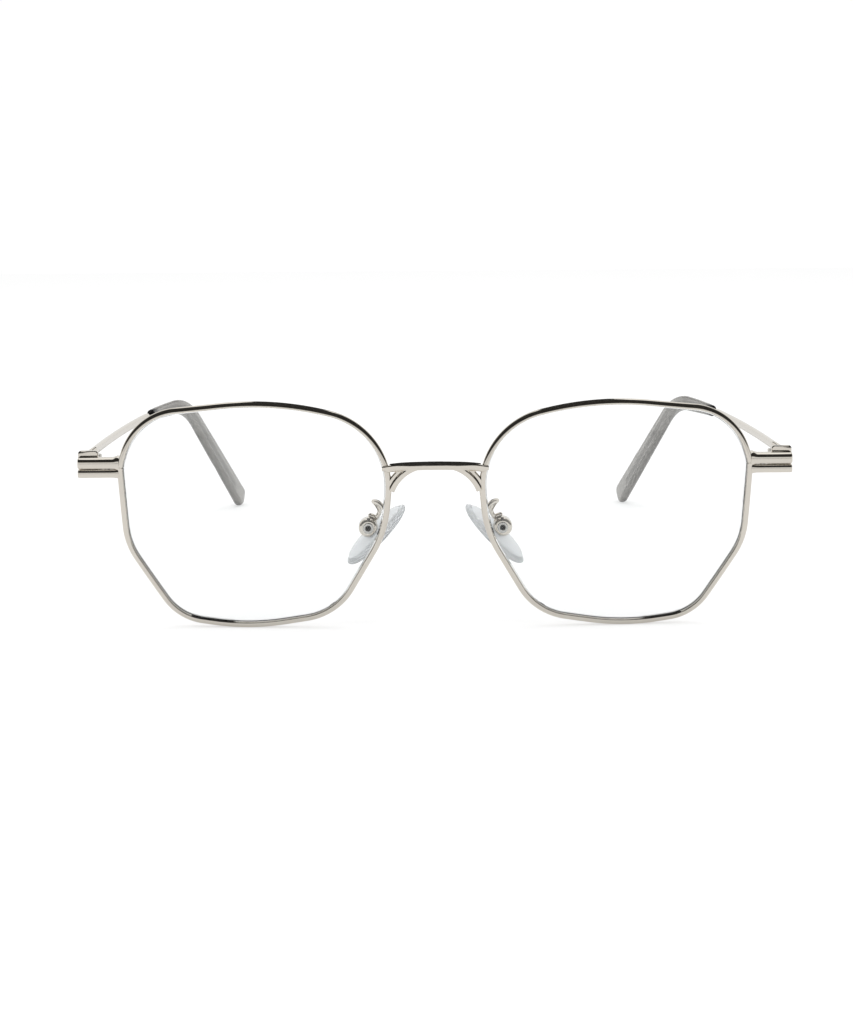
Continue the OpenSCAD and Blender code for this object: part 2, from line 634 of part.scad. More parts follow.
module hinge_screw() {
    color(screw_steel) translate([hinge_x, hinge_y, hinge_low]) {
        cylinder(d = hinge_screw_d, h = hinge_h - eps);
        translate([0, 0, hinge_h - hinge_head_h]) cylinder(d = hinge_head_d, h = hinge_head_h);
    }
}

module temple() {
    color(metal) skin([for (i = [0:plug_from - 1]) placed(i, bar_section(stations[i]))]);
}

// The skin starts at the blind end of the bore, comes out at its mouth and goes back round the outside.
module temple_tip() {
    color(smoke) skin(concat([for (i = [plug_from:-1:sleeve_from]) placed(i, bore_section)],
        [for (i = [sleeve_from:len(stations) - 1]) placed(i, sleeve_section(stations[i]))]));
}

module pad_arm() {
    rings = [for (i = [0:len(arm_points) - 1])
        let (d = turn_at(arm_points, i), side = unit(cross(d, arm_upright)), up = cross(side, d))
        [for (k = [0:arm_sides - 1]) let (a = 360 * k / arm_sides)
            arm_points[i] + arm_d / 2 * (cos(a) * side + sin(a) * up)]];
    color(metal) skin(rings);
}

module at_pad() {
    translate(pad_screw) rotate([0, -pad_lean, 0]) children();
}

// The flat side of the box lies parallel to the back of the pad, which turns past it.
module pad_box() {
    color(metal) at_pad() difference() {
        rotate([90, 0, 0]) cylinder(r = box_r, h = box_len, center = true);
        translate([-box_flat, 0, 0]) rotate([0, 0, -pad_splay])
            translate([-2 * box_r, -box_len, -box_r - eps]) cube([2 * box_r, 2 * box_len, 2 * box_r + 2 * eps]);
        translate([-2 * box_r, -box_slot / 2, -box_r - eps])
            cube([2 * box_r + lug_r + lug_swing_play, box_slot, 2 * box_r + 2 * eps]);
        rotate([90, 0, 0]) cylinder(d = pad_screw_d, h = box_len + 2 * eps, center = true);
    }
}

module pad_screw_pin() {
    color(screw_steel) at_pad() rotate([-90, 0, 0]) {
        translate([0, 0, -box_len / 2 - pad_head_h]) cylinder(d = pad_screw_d, h = box_len + pad_head_h);
        translate([0, 0, -box_len / 2 - pad_head_h]) cylinder(d = pad_head_d, h = pad_head_h);
    }
}

module pad_lug() {
    color(metal) at_pad() difference() {
        union() {
            rotate([90, 0, 0]) cylinder(r = lug_r, h = lug_t, center = true);
            translate([-pad_standoff - lug_embed, -lug_t / 2, -lug_r])
                cube([pad_standoff + lug_embed, lug_t, 2 * lug_r]);
        }
        rotate([90, 0, 0]) cylinder(d = pad_screw_d + 2 * screw_play, h = lug_t + 2 * eps, center = true);
    }
}

// The back of a pad has a pocket for its lug, with the same play on each side.
module nose_pad() {
    rings = [for (q = pad_profile) [for (k = [0:pad_sides - 1]) let (a = 360 * k / pad_sides)
        [-pad_t * q[1], q[0] * pad_w / 2 * cos(a) * (1 - pad_egg * sin(a)), q[0] * pad_len / 2 * sin(a)]]];
    color(silicone) at_pad() difference() {
        translate([-pad_standoff, 0, 0]) rotate([0, 0, -pad_splay]) skin(rings);
        translate([-pad_standoff - lug_embed - lug_play, -lug_t / 2 - lug_play, -lug_r - lug_play])
            cube([pad_standoff, lug_t + 2 * lug_play, 2 * lug_r + 2 * lug_play]);
    }
}

module on_floor() {
    translate([0, -middle_y, 0]) children();
}

module left() {
    on_floor() mirror([1, 0, 0]) children();
}

module right() {
    on_floor() children();
}

left() rim();  // left_rim
right() rim();  // right_rim
left() lens();  // left_lens
right() lens();  // right_lens
on_floor() bridge();
left() end_piece();  // left_end_piece
right() end_piece();  // right_end_piece
left() lock_bar();  // left_lock_bar
right() lock_bar();  // right_lock_bar
left() rim_screw();  // left_rim_screw
right() rim_screw();  // right_rim_screw
left() front_hinge();  // left_front_hinge
right() front_hinge();  // right_front_hinge
left() temple_hinge();  // left_temple_hinge
right() temple_hinge();  // right_temple_hinge
left() hinge_screw();  // left_hinge_screw
right() hinge_screw();  // right_hinge_screw
left() temple();  // left_temple
right() temple();  // right_temple
left() temple_tip();  // left_temple_tip
right() temple_tip();  // right_temple_tip
left() pad_arm();  // left_pad_arm
right() pad_arm();  // right_pad_arm
left() pad_box();  // left_pad_box
right() pad_box();  // right_pad_box
left() pad_screw_pin();  // left_pad_screw
right() pad_screw_pin();  // right_pad_screw
left() pad_lug();  // left_pad_lug
right() pad_lug();  // right_pad_lug
left() nose_pad();  // left_nose_pad
right() nose_pad();  // right_nose_pad
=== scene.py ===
"""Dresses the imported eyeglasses: polished wire, clear lenses, smoke sleeves and silicone pads."""

import itertools
import math

import bmesh
import bpy
import numpy as np
from bpy.props import FloatProperty, FloatVectorProperty, PointerProperty
from mathutils import Matrix, Vector


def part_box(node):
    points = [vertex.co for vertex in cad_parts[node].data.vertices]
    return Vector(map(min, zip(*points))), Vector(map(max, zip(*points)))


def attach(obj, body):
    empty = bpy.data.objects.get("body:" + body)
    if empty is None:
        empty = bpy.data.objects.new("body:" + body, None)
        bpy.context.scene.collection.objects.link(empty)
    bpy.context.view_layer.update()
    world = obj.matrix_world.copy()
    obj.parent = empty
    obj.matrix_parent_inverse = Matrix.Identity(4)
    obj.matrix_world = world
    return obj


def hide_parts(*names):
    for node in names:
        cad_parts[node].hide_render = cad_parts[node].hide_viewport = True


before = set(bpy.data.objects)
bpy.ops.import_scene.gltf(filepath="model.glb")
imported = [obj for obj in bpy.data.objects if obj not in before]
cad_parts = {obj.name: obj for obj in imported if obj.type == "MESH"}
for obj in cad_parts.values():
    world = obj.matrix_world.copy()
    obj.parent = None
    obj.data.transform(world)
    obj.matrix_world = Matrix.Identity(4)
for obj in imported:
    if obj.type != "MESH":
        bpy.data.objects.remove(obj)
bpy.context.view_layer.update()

bl_info = {
    "name": "Wire eyeglasses",
    "version": (1, 0, 0),
    "blender": (4, 5, 0),
    "location": "3D View > Sidebar > Eyeglasses",
    "description": "Metal eyeglasses with six-sided eye wires, pads and sleeved temples",
    "category": "Add Mesh",
}

MM = 0.001
SIDES = {"left": -1, "right": 1}

# Corners of the lens shape of a right lens: across, up and radius, in millimetres
LENS_CORNERS = np.array([
    (26.3, 9.6, 6.0), (23.05, 19.8, 12.7), (-3.85, 23.05, 56.5), (-27.4, 17.25, 15.1), (-25.4, -3.2, 21.2),
    (-15.65, -19.9, 12.3), (1.65, -22.6, 50.0), (15.55, -20.95, 9.8), (25.3, -5.95, 13.0),
]) * MM
NOSE_CORNER = 4
BASE_RADIUS = 130 * MM
WRAP = math.radians(3)
TILT = math.radians(4.5)
EYE_X = (18.6 + 52.2) / 2 * MM
SEAM_RISE = 9.4 * MM
SEAM_OUT = 0.575 * MM
BUTT_THICKNESS = 1.3 * MM
ARC_STEP = 0.5 * MM
LINE_STEP = 1.5 * MM


def length(name, default, description, low=0.0, high=0.2):
    """A length that a user may change, in metres and shown in the scene's units."""
    return FloatProperty(name=name, description=description, default=default * MM, min=low, max=high,
                         unit="LENGTH", precision=5)


def colour(name, default, description):
    """A colour that a user may change."""
    return FloatVectorProperty(name=name, description=description, default=default, size=3, min=0.0,
                               max=1.0, subtype="COLOR")


class EYEGLASSES_PG_front(bpy.types.PropertyGroup):
    """Sizes of the eye wires, lenses, bridge and end pieces."""

    wire_face: length("Wire face", 1.15, "Width of the eye wire as seen from the front")
    wire_depth: length("Wire depth", 2.0, "Depth of the eye wire from front to back")
    wire_round: length("Wire rounding", 0.5, "Radius of the outer edges of the eye wire")
    wire_crown: length("Wire crown", 0.85, "Width of the rounded part of the eye wire's face")
    groove: length("Groove", 0.5, "Depth of the lens groove")
    split: length("Split", 0.16, "Gap where the eye wire is split")
    lens_thickness: length("Lens thickness", 1.3, "Thickness of a lens")
    bar_height: length("Bridge height", 1.5, "Height of the bridge bar")
    bar_depth: length("Bridge depth", 1.7, "Depth of the bridge bar")
    lap: length("Bridge lap", 0.35, "Thickness of the bar's ends over the eye wires")
    bar_rise: length("Bridge rise", 10.6, "Height of the bridge's upper edge above the lens centres")
    arch_radius: length("Bridge arch", 150.0, "Radius of the bridge's arch")
    leg_width: length("Leg width", 1.15, "Width of the legs under the bridge")
    web_width: length("Web width", 2.0, "Width of a leg with the brazed web behind it")
    leg_radius: length("Leg curve", 7.1, "Radius of the curves below the bridge")
    leg_spread: length("Leg spread", 2.6, "Distance between the centres of those curves")
    leg_drop: length("Leg drop", 5.6, "How far the legs reach down the eye wires")


class EYEGLASSES_PG_temples(bpy.types.PropertyGroup):
    """Sizes of the temples and their sleeves."""

    bar_thickness: length("Bar thickness", 1.1, "Thickness of the temple bar")
    bar_height: length("Bar height", 1.65, "Height of the temple bar")
    butt_height: length("Butt height", 3.4, "Height of the temple at its hinge")
    butt_length: length("Butt length", 1.2, "Length of the straight butt")
    taper: length("Taper", 4.5, "Length of the taper from the butt to the bar")
    inset: length("Inset", 1.1, "How far the bar lies inwards from the butt")
    lift: length("Lift", 1.7, "How far the bar lies above the middle of the butt")
    curve_start: length("Curve start", 64.0, "Distance from the hinge to the inward curve")
    curve_length: length("Curve length", 26.0, "Length of the inward curve")
    bend_start: length("Bend start", 90.5, "Distance from the hinge to the ear bend")
    bend_radius: length("Bend radius", 24.0, "Radius of the ear bend")
    sleeve_start: length("Sleeve start", 73.0, "Distance from the hinge to the sleeve")
    sleeve_height: length("Sleeve height", 2.5, "Height of the sleeve at its front end")
    sleeve_end_height: length("Sleeve end height", 5.0, "Height of the sleeve at its ear end")
    sleeve_thickness: length("Sleeve thickness", 1.9, "Thickness of the sleeve at its front end")
    sleeve_end_thickness: length("Sleeve end thickness", 2.2, "Thickness of the sleeve at its ear end")
    core_height: length("Core height", 1.3, "Height of the wire inside the sleeve")
    core_thickness: length("Core thickness", 0.9, "Thickness of the wire inside the sleeve")
    plug: length("Plug", 6.0, "Solid length of the sleeve beyond the wire")


class EYEGLASSES_PG_pads(bpy.types.PropertyGroup):
    """Sizes of the nose pads and their arms."""

    pad_length: length("Pad length", 16.0, "Length of a nose pad")
    pad_width: length("Pad width", 7.6, "Width of a nose pad")
    pad_thickness: length("Pad thickness", 1.9, "Thickness of a nose pad")
    standoff: length("Standoff", 1.4, "Distance from the pad screw to the back of the pad")
    box_radius: length("Box radius", 1.9, "Radius of the round box")
    box_length: length("Box length", 2.9, "Length of the round box from front to back")
    box_flat: length("Box flat", 0.95, "Distance from the screw to the flat side of the box")
    box_slot: length("Box slot", 1.3, "Width of the slot in the box")
    slot_bottom: length("Slot bottom", 1.15, "Distance from the screw to the bottom of the slot")
    arm_diameter: length("Arm diameter", 0.9, "Diameter of the wire of a pad arm")


class EYEGLASSES_PG_colours(bpy.types.PropertyGroup):
    """Colours of the finishes."""

    metal: colour("Metal", (0.77, 0.725, 0.655), "Polished metal")
    steel: colour("Steel", (0.62, 0.61, 0.59), "Screws and hinges")
    lens: colour("Lens", (0.975, 0.985, 0.985), "Clear lenses")
    sleeve: colour("Sleeve", (0.475, 0.462, 0.44), "Smoke grey sleeves")
    pad: colour("Pad", (0.94, 0.965, 1.0), "Clear silicone pads")


# Mesh helpers -------------------------------------------------------------------------------------


def share(s, start, span):
    """How much of a span lies behind a place, from 0 to 1."""
    return min(1.0, max(0.0, (s - start) / span))


def ease(t):
    """A share that starts and ends gently."""
    return t * t * (3 - 2 * t)


def finish_mesh(name, mesh, sharp=35.0):
    """An object of a mesh with outward normals, smooth but for its sharp edges."""
    bm = bmesh.new()
    bm.from_mesh(mesh)
    bmesh.ops.recalc_face_normals(bm, faces=bm.faces)
    for face in bm.faces:
        face.smooth = True
    bm.to_mesh(mesh)
    bm.free()
    mesh.set_sharp_from_angle(angle=math.radians(sharp))
    piece = bpy.data.objects.new(name, mesh)
    bpy.context.collection.objects.link(piece)
    return piece


def mesh_of(name, verts, faces):
    """A mesh of plain vertices and faces."""
    mesh = bpy.data.meshes.new(name)
    mesh.from_pydata([tuple(v) for v in verts], [], faces)
    mesh.update()
    return mesh


def loft(rings):
    """Vertices and faces of a skin through rings of equal count, capped at both ends."""
    rings = np.asarray(rings)
    m, n = rings.shape[:2]
    faces = []
    for a in range(0, (m - 1) * n, n):
        faces += [(a + k, a + (k + 1) % n, a + n + (k + 1) % n, a + n + k) for k in range(n)]
    faces += [tuple(reversed(range(n))), tuple(range((m - 1) * n, m * n))]
    return rings.reshape(-1, 3), faces


def corner(x, y, r, start, steps, deep=None):
    """Points round one corner of a section, elliptical where its second radius is given."""
    a = math.radians(start) + np.linspace(0, math.pi / 2, steps + 1)
    return [(x + r * math.cos(t), y + (deep or r) * math.sin(t)) for t in a]


def round_rect(w, h, r, steps=4):
    """A rectangle about the origin with rounded corners."""
    r = min(r, w / 2 - 1e-6, h / 2 - 1e-6)
    x, y = w / 2 - r, h / 2 - r
    return np.array(corner(x, y, r, 0, steps) + corner(-x, y, r, 90, steps) + corner(-x, -y, r, 180, steps)
                    + corner(x, -y, r, 270, steps))


def around(count):
    """Evenly spaced angles round a circle."""
    return np.linspace(0, math.tau, count, endpoint=False)


def turned(profile, sides=40):
    """Rings of a turned piece about Z from (radius, height) pairs, from one end to the other."""
    return [[(max(r, 1e-6) * math.cos(a), max(r, 1e-6) * math.sin(a), z)
             for a in around(sides)] for r, z in profile]


def stacked(section, x, z, stations):
    """Rings along Y of one section, which is scaled at each (place, scale) station."""
    return [[(x + p * k, y, z + q * k) for p, q in section] for y, k in stations]


def solid(name, skin):
    """An object straight from vertices and faces."""
    return finish_mesh(name, mesh_of(name, *skin))


def evaluated(piece, name):
    """A new mesh of a piece with its modifiers, in place of the piece."""
    graph = bpy.context.evaluated_depsgraph_get()
    mesh = bpy.data.meshes.new_from_object(piece.evaluated_get(graph))
    mesh.name = name
    old = piece.data
    bpy.data.objects.remove(piece)
    if old.users == 0:
        bpy.data.meshes.remove(old)
    return mesh


def combined(first, second, operation):
    """The mesh of one piece joined with, or cut by, another."""
    name = first.data.name
    step = first.modifiers.new("Combine", "BOOLEAN")
    step.operation = operation
    step.solver = "EXACT"
    step.object = second
    mesh = evaluated(first, name)
    old = second.data
    bpy.data.objects.remove(second)
    bpy.data.meshes.remove(old)
    return mesh


def soften(mesh, width, angle=40.0):
    """Rounds the sharp edges of a mesh."""
    bm = bmesh.new()
    bm.from_mesh(mesh)
    bmesh.ops.remove_doubles(bm, verts=bm.verts, dist=1e-7)
    bmesh.ops.dissolve_limit(bm, angle_limit=math.radians(1), verts=bm.verts, edges=bm.edges)
    edges = [e for e in bm.edges if len(e.link_faces) == 2 and e.calc_face_angle(0) > math.radians(angle)]
    bmesh.ops.bevel(bm, geom=edges, offset=width, segments=2, profile=0.5, affect="EDGES",
                    clamp_overlap=True)
    bm.to_mesh(mesh)
    bm.free()
    return mesh


def mirrored(mesh, side):
    """The mesh of a right piece, turned over for the left."""
    if side < 0:
        mesh.transform(Matrix.Scale(-1, 4, (1, 0, 0)))
        mesh.flip_normals()
    return mesh


def block(low, high):
    """Vertices and faces of a box between two corners."""
    verts = [(x, y, z) for z in (low[2], high[2]) for x, y in
             ((low[0], low[1]), (high[0], low[1]), (high[0], high[1]), (low[0], high[1]))]
    return verts, [(0, 1, 2, 3), (4, 5, 6, 7), (0, 1, 5, 4), (1, 2, 6, 5), (2, 3, 7, 6), (3, 0, 4, 7)]


def node_copy(node, name, width):
    """A copy of a CAD node's mesh with softened edges."""
    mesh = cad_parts[node].data.copy()
    mesh.name = name
    mesh.materials.clear()
    return soften(mesh, width)


def place(name, mesh, body, slot, finish, *nodes, sharp=35.0):
    """Puts a finished mesh on its body, in place of the CAD nodes that it stands for."""
    piece = finish_mesh(name, mesh, sharp)
    piece.data.materials.append(finish)
    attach(piece, body)
    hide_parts(*nodes)
    return piece


def place_pair(kind, skin, body, slot, finish, node):
    """Places a skin made for the right side, and its mirror image, each on its own side's body."""
    pieces = []
    for name, side in SIDES.items():
        mesh = mirrored(mesh_of(f"{name}_{kind}", *skin), side)
        pieces.append(place(f"{name}_{kind}", mesh, body.format(name), slot, finish, f"{name}_{node}"))
    return pieces


# Outline of the lens ------------------------------------------------------------------------------


def unit(v):
    """A vector's direction."""
    return v / np.linalg.norm(v)


def corner_arcs():
    """Each corner of the lens shape as (centre x, centre z, radius, first angle, last angle)."""
    arcs = []
    count = len(LENS_CORNERS)
    for i, (x, z, r) in enumerate(LENS_CORNERS):
        b = np.array((x, z))
        d0 = unit(b - LENS_CORNERS[i - 1][:2])
        d1 = unit(LENS_CORNERS[(i + 1) % count][:2] - b)
        n0, n1 = np.array((d0[1], -d0[0])), np.array((d1[1], -d1[0]))
        centre = b - r * (n0 + n1) / (1 + n0 @ n1)
        start = math.atan2(n0[1], n0[0]) % math.tau
        turn = (math.atan2(n1[1], n1[0]) - start) % math.tau
        arcs.append((centre[0], centre[1], r, start, start + turn))
    return arcs


ARCS = corner_arcs()


def arc_stations(arc, start, end):
    """Stations round a corner of the lens shape as (centre x, centre z, radius, angle)."""
    count = max(2, math.ceil(arc[2] * (end - start) / ARC_STEP))
    return [(arc[0], arc[1], arc[2], a) for a in np.linspace(start, end, count + 1)]


def line_stations(arc, following):
    """Stations along the side between two corners, with a radius of 0."""
    p = station_point((arc[0], arc[1], arc[2], arc[4]), 0)
    q = station_point(following[:4], 0)
    count = math.ceil(np.linalg.norm(q - p) / LINE_STEP)
    return [(*(p + (q - p) * k / count), 0, arc[4]) for k in range(1, count)]


def station_point(station, out):
    """Flat point at a station, that far outwards from the lens edge."""
    x, z, r, a = station[:4]
    return np.array((x + (r + out) * math.cos(a), z + (r + out) * math.sin(a)))


def outline(split_half=None):
    """Stations round the lens shape, or round the eye wire from above its split to below it."""
    first = ARCS[0]
    middle = []
    for i in range(1, len(ARCS)):
        middle += arc_stations(ARCS[i], ARCS[i][3], ARCS[i][4])
        middle += line_stations(ARCS[i], ARCS[(i + 1) % len(ARCS)])
    lead = line_stations(first, ARCS[1])
    if split_half is None:
        return arc_stations(first, first[3], first[4]) + lead + middle
    angle = split_angle()
    return (arc_stations(first, angle + split_half, first[4]) + lead + middle
            + arc_stations(first, first[3], angle - split_half))


def split_angle():
    """Angle round the first corner at which the middle of the eye wire is split."""
    return math.asin((SEAM_RISE - ARCS[0][1]) / (ARCS[0][2] + SEAM_OUT)) + math.tau


def on_front(x, z, depth):
    """A flat point of the lens plane, laid on the sphere, wrapped back and leaned."""
    k = (BASE_RADIUS - depth) / BASE_RADIUS
    y = BASE_RADIUS - k * math.sqrt(BASE_RADIUS ** 2 - x * x - z * z)
    x, z = k * x, k * z
    x, y = EYE_X + x * math.cos(WRAP) - y * math.sin(WRAP), x * math.sin(WRAP) + y * math.cos(WRAP)
    return np.array((x, y * math.cos(TILT) - z * math.sin(TILT), y * math.sin(TILT) + z * math.cos(TILT)))


def eye_point(station, out, depth):
    """Point of the right eye wire or lens at a station."""
    return on_front(*station_point(station, out), depth)


def wire_section(s):
    """Section of the eye wire as (outwards from the lens edge, depth)."""
    inner, outer, mid, edge = -s.groove, s.wire_face - s.groove, s.wire_depth / 2, 0.2 * MM
    r = s.wire_round
    return ([(inner, mid + s.groove), (0.05 * MM, mid), (inner, mid - s.groove)]
            + corner(inner + edge, edge, edge, 180, 3)
            + corner(outer - s.wire_crown, r, s.wire_crown, 270, 10, r)
            + corner(outer - r, s.wire_depth - r, r, 0, 6)
            + corner(inner + edge, s.wire_depth - edge, edge, 90, 3))


def wire_rings(s):
    """Rings of the eye wire's section from one side of its split to the other."""
    half = s.split / 2 / ARCS[0][2]
    section = wire_section(s)
    return np.array([[eye_point(st, o, d) for o, d in section] for st in outline(half)])


def front_offset(s):
    """Where the front stands: from the sphere's own place to the CAD eye wire's."""
    rings = wire_rings(s)
    low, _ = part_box("right_rim")
    return np.array((0, low[1] - rings[..., 1].min(), low[2] - rings[..., 2].min()))


# Finishes -----------------------------------------------------------------------------------------


def new_finish(name, base, **values):
    """A material with a Principled shader and object coordinates."""
    finish = bpy.data.materials.new(name)
    finish.use_nodes = True
    nodes, links = finish.node_tree.nodes, finish.node_tree.links
    shader = nodes["Principled BSDF"]
    shader.inputs["Base Color"].default_value = (*base, 1)
    for key, value in values.items():
        shader.inputs[key.replace("_", " ")].default_value = value
    coords = nodes.new("ShaderNodeTexCoord")
    return finish, nodes, links, shader, coords


def noise(nodes, links, coords, scale, detail=3.0, stretch=None):
    """A noise texture in object coordinates, finer with a larger scale."""
    texture = nodes.new("ShaderNodeTexNoise")
    texture.inputs["Scale"].default_value = scale
    texture.inputs["Detail"].default_value = detail
    source = coords.outputs["Object"]
    if stretch:
        mapping = nodes.new("ShaderNodeMapping")
        mapping.inputs["Scale"].default_value = stretch
        links.new(source, mapping.inputs["Vector"])
        source = mapping.outputs["Vector"]
    links.new(source, texture.inputs["Vector"])
    return texture.outputs["Fac"]


def ramp_value(nodes, links, source, low, high):
    """A value that follows a texture between two limits."""
    scaled = nodes.new("ShaderNodeMapRange")
    scaled.inputs["From Min"].default_value = 0.3
    scaled.inputs["From Max"].default_value = 0.7
    scaled.inputs["To Min"].default_value = low
    scaled.inputs["To Max"].default_value = high
    links.new(source, scaled.inputs["Value"])
    return scaled.outputs["Result"]


def colour_mix(nodes, links, factor, first, second):
    """A colour between two others, each of them a socket or plain values."""
    node = nodes.new("ShaderNodeMix")
    node.data_type = "RGBA"
    links.new(factor, node.inputs["Factor"])
    for socket, value in ((node.inputs["A"], first), (node.inputs["B"], second)):
        if isinstance(value, tuple):
            socket.default_value = (*value, 1)
        else:
            links.new(value, socket)
    return node.outputs["Result"]


def between(nodes, links, source, low, high, kind="SMOOTHSTEP"):
    """A value that goes from 0 to 1 as another goes from low to high."""
    node = nodes.new("ShaderNodeMapRange")
    node.interpolation_type = kind
    node.inputs["From Min"].default_value = low
    node.inputs["From Max"].default_value = high
    links.new(source, node.inputs["Value"])
    return node.outputs["Result"]


def object_axis(nodes, links, coords, axis):
    """One of the object coordinates."""
    split = nodes.new("ShaderNodeSeparateXYZ")
    links.new(coords.outputs["Object"], split.inputs["Vector"])
    return split.outputs[axis]


def bump(nodes, links, shader, source, strength, distance=0.00001):
    """Fine unevenness of a surface that follows a texture."""
    node = nodes.new("ShaderNodeBump")
    node.inputs["Strength"].default_value = strength
    node.inputs["Distance"].default_value = distance
    links.new(source, node.inputs["Height"])
    links.new(node.outputs["Normal"], shader.inputs["Normal"])


def shaded(base, factor):
    """A colour made lighter or darker."""
    return tuple(min(1.0, c * factor) for c in base)


def vary(nodes, links, shader, texture, rough, tones=None):
    """Lets the roughness, and the colour where two tones are given, follow a texture."""
    links.new(ramp_value(nodes, links, texture, *rough), shader.inputs["Roughness"])
    if tones:
        links.new(colour_mix(nodes, links, texture, *tones), shader.inputs["Base Color"])


def polished_metal(c):
    """Plated wire: mirror bright, with faint polishing haze and slightly uneven tone."""
    finish, nodes, links, shader, coords = new_finish("polished plated wire", c.metal, Metallic=1.0)
    haze = noise(nodes, links, coords, 420, 4)
    vary(nodes, links, shader, haze, (0.05, 0.09), (shaded(c.metal, 0.97), shaded(c.metal, 1.03)))
    bump(nodes, links, shader, noise(nodes, links, coords, 2600, 2), 0.06)
    return finish


def turned_steel(c):
    """Screws: turned steel with fine rings and a satin finish."""
    finish, nodes, links, shader, coords = new_finish("turned screw steel", c.steel, Metallic=1.0)
    rings = noise(nodes, links, coords, 3500, 2)
    vary(nodes, links, shader, rings, (0.18, 0.3), (shaded(c.steel, 0.93), shaded(c.steel, 1.06)))
    bump(nodes, links, shader, rings, 0.1)
    return finish


def sunk_steel(c):
    """Pad screws: turned steel, with painted shade, near black, inside the sunk end."""
    finish, nodes, links, shader, coords = new_finish("sunk screw steel", c.steel, Metallic=1.0)
    vary(nodes, links, shader, noise(nodes, links, coords, 3500, 2), (0.18, 0.3))
    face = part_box("right_pad_screw")[0][1]
    # Painted shade: the colour turns near black inside the hole of the sunk end, where shade falls.
    sunk = between(nodes, links, object_axis(nodes, links, coords, "Y"), face + 0.05 * MM, face + 0.25 * MM,
                   "LINEAR")
    links.new(colour_mix(nodes, links, sunk, c.steel[:], (0.015, 0.013, 0.012)), shader.inputs["Base Color"])
    return finish


def hinge_metal(c):
    """Hinges and lugs: plated like the wire, with ground faces that are a little duller."""
    finish, nodes, links, shader, coords = new_finish("ground hinge metal", c.steel, Metallic=1.0)
    grain = noise(nodes, links, coords, 1800, 3, stretch=(1, 0.15, 1))
    vary(nodes, links, shader, grain, (0.16, 0.26), (shaded(c.steel, 0.95), shaded(c.metal, 0.98)))
    bump(nodes, links, shader, grain, 0.12)
    return finish


def clear_lens(c):
    """Clear plastic lens: polished, with the faintest trace of handling in its gloss."""
    finish, nodes, links, shader, coords = new_finish(
        "clear lens plastic", c.lens, Roughness=0.0, IOR=1.5, Transmission_Weight=1.0)
    vary(nodes, links, shader, noise(nodes, links, coords, 160, 3), (0.0, 0.012))
    return finish


def smoke_sleeve(c):
    """Smoke grey sleeve: translucent, satin, with painted shade at its front end: a near black band in its
    colour that stands in for the sleeve seen along its length.
    """
    finish, nodes, links, shader, coords = new_finish(
        "smoke grey sleeve", c.sleeve, IOR=1.45, Transmission_Weight=0.6)
    cloud = noise(nodes, links, coords, 260, 4)
    fine = noise(nodes, links, coords, 2200, 2)
    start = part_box("right_temple_tip")[0][1]
    # Painted shade: the colour runs from near black to the sleeve's own grey over its first few millimetres.
    behind = between(nodes, links, object_axis(nodes, links, coords, "Y"), start + 1.2 * MM, start + 4.5 * MM)
    tone = colour_mix(nodes, links, cloud, shaded(c.sleeve, 0.93), shaded(c.sleeve, 1.07))
    links.new(colour_mix(nodes, links, behind, (0.02, 0.02, 0.022), tone), shader.inputs["Base Color"])
    vary(nodes, links, shader, fine, (0.16, 0.24))
    bump(nodes, links, shader, fine, 0.08)
    return finish


def pad_silicone(c):
    """Clear silicone pad: soft gloss, faint cloud and a cool tone."""
    finish, nodes, links, shader, coords = new_finish(
        "clear pad silicone", c.pad, IOR=1.41, Transmission_Weight=0.5)
    cloud = noise(nodes, links, coords, 500, 3)
    vary(nodes, links, shader, cloud, (0.08, 0.16), (shaded(c.pad, 0.96), shaded(c.pad, 1.04)))
    bump(nodes, links, shader, cloud, 0.1, 0.00002)
    return finish


def finish_for(context, maker):
    """The finish of that kind, made once."""
    key = maker.__name__
    for material in bpy.data.materials:
        if material.get("finish") == key:
            return material
    material = maker(context.scene.eyeglasses_colours)
    material["finish"] = key
    return material


# Pieces of the front ------------------------------------------------------------------------------


class EYEGLASSES_OT_eye_wires(bpy.types.Operator):
    """Grooved, split eye wires swept round the lens outline"""

    bl_idname = "eyeglasses.eye_wires"
    bl_label = "Eye wires"

    def execute(self, context):
        s = context.scene.eyeglasses_front
        place_pair("eye_wire", loft(wire_rings(s) + front_offset(s)), "front", "polished_metal",
                   finish_for(context, polished_metal), "rim")
        return {"FINISHED"}


class EYEGLASSES_OT_lenses(bpy.types.Operator):
    """Clear lenses with a bevelled edge that sits in the groove"""

    bl_idname = "eyeglasses.lenses"
    bl_label = "Lenses"

    def execute(self, context):
        s = context.scene.eyeglasses_front
        mid, half = s.wire_depth / 2, s.lens_thickness / 2
        shoulder = -s.groove - 0.1 * MM
        stations = outline()
        edge = [station_point(st, shoulder) for st in stations]
        shares = np.concatenate(([0.01], np.linspace(0.12, 0.96, 8)))
        rings = [[on_front(x * f, z * f, mid - half) for x, z in edge] for f in shares]
        rings += [[eye_point(st, out, mid + depth) for st in stations] for out, depth in (
            (shoulder, -half), (shoulder, -s.groove), (0, 0), (shoulder, s.groove), (shoulder, half))]
        rings += [[on_front(x * f, z * f, mid + half) for x, z in edge] for f in shares[::-1]]
        for piece in place_pair("clear_lens", loft(np.array(rings) + front_offset(s)), "front", "clear_lens",
                                finish_for(context, clear_lens), "lens"):
            piece.visible_shadow = False
        return {"FINISHED"}


def bar_top(s, x):
    """Height of the bridge's upper edge, which falls away a little towards the eye wires."""
    fall = 0.011 / MM * max(0.0, abs(x) - 5.2 * MM) ** 2
    return s.bar_rise - s.arch_radius + math.sqrt(s.arch_radius ** 2 - x * x) - fall


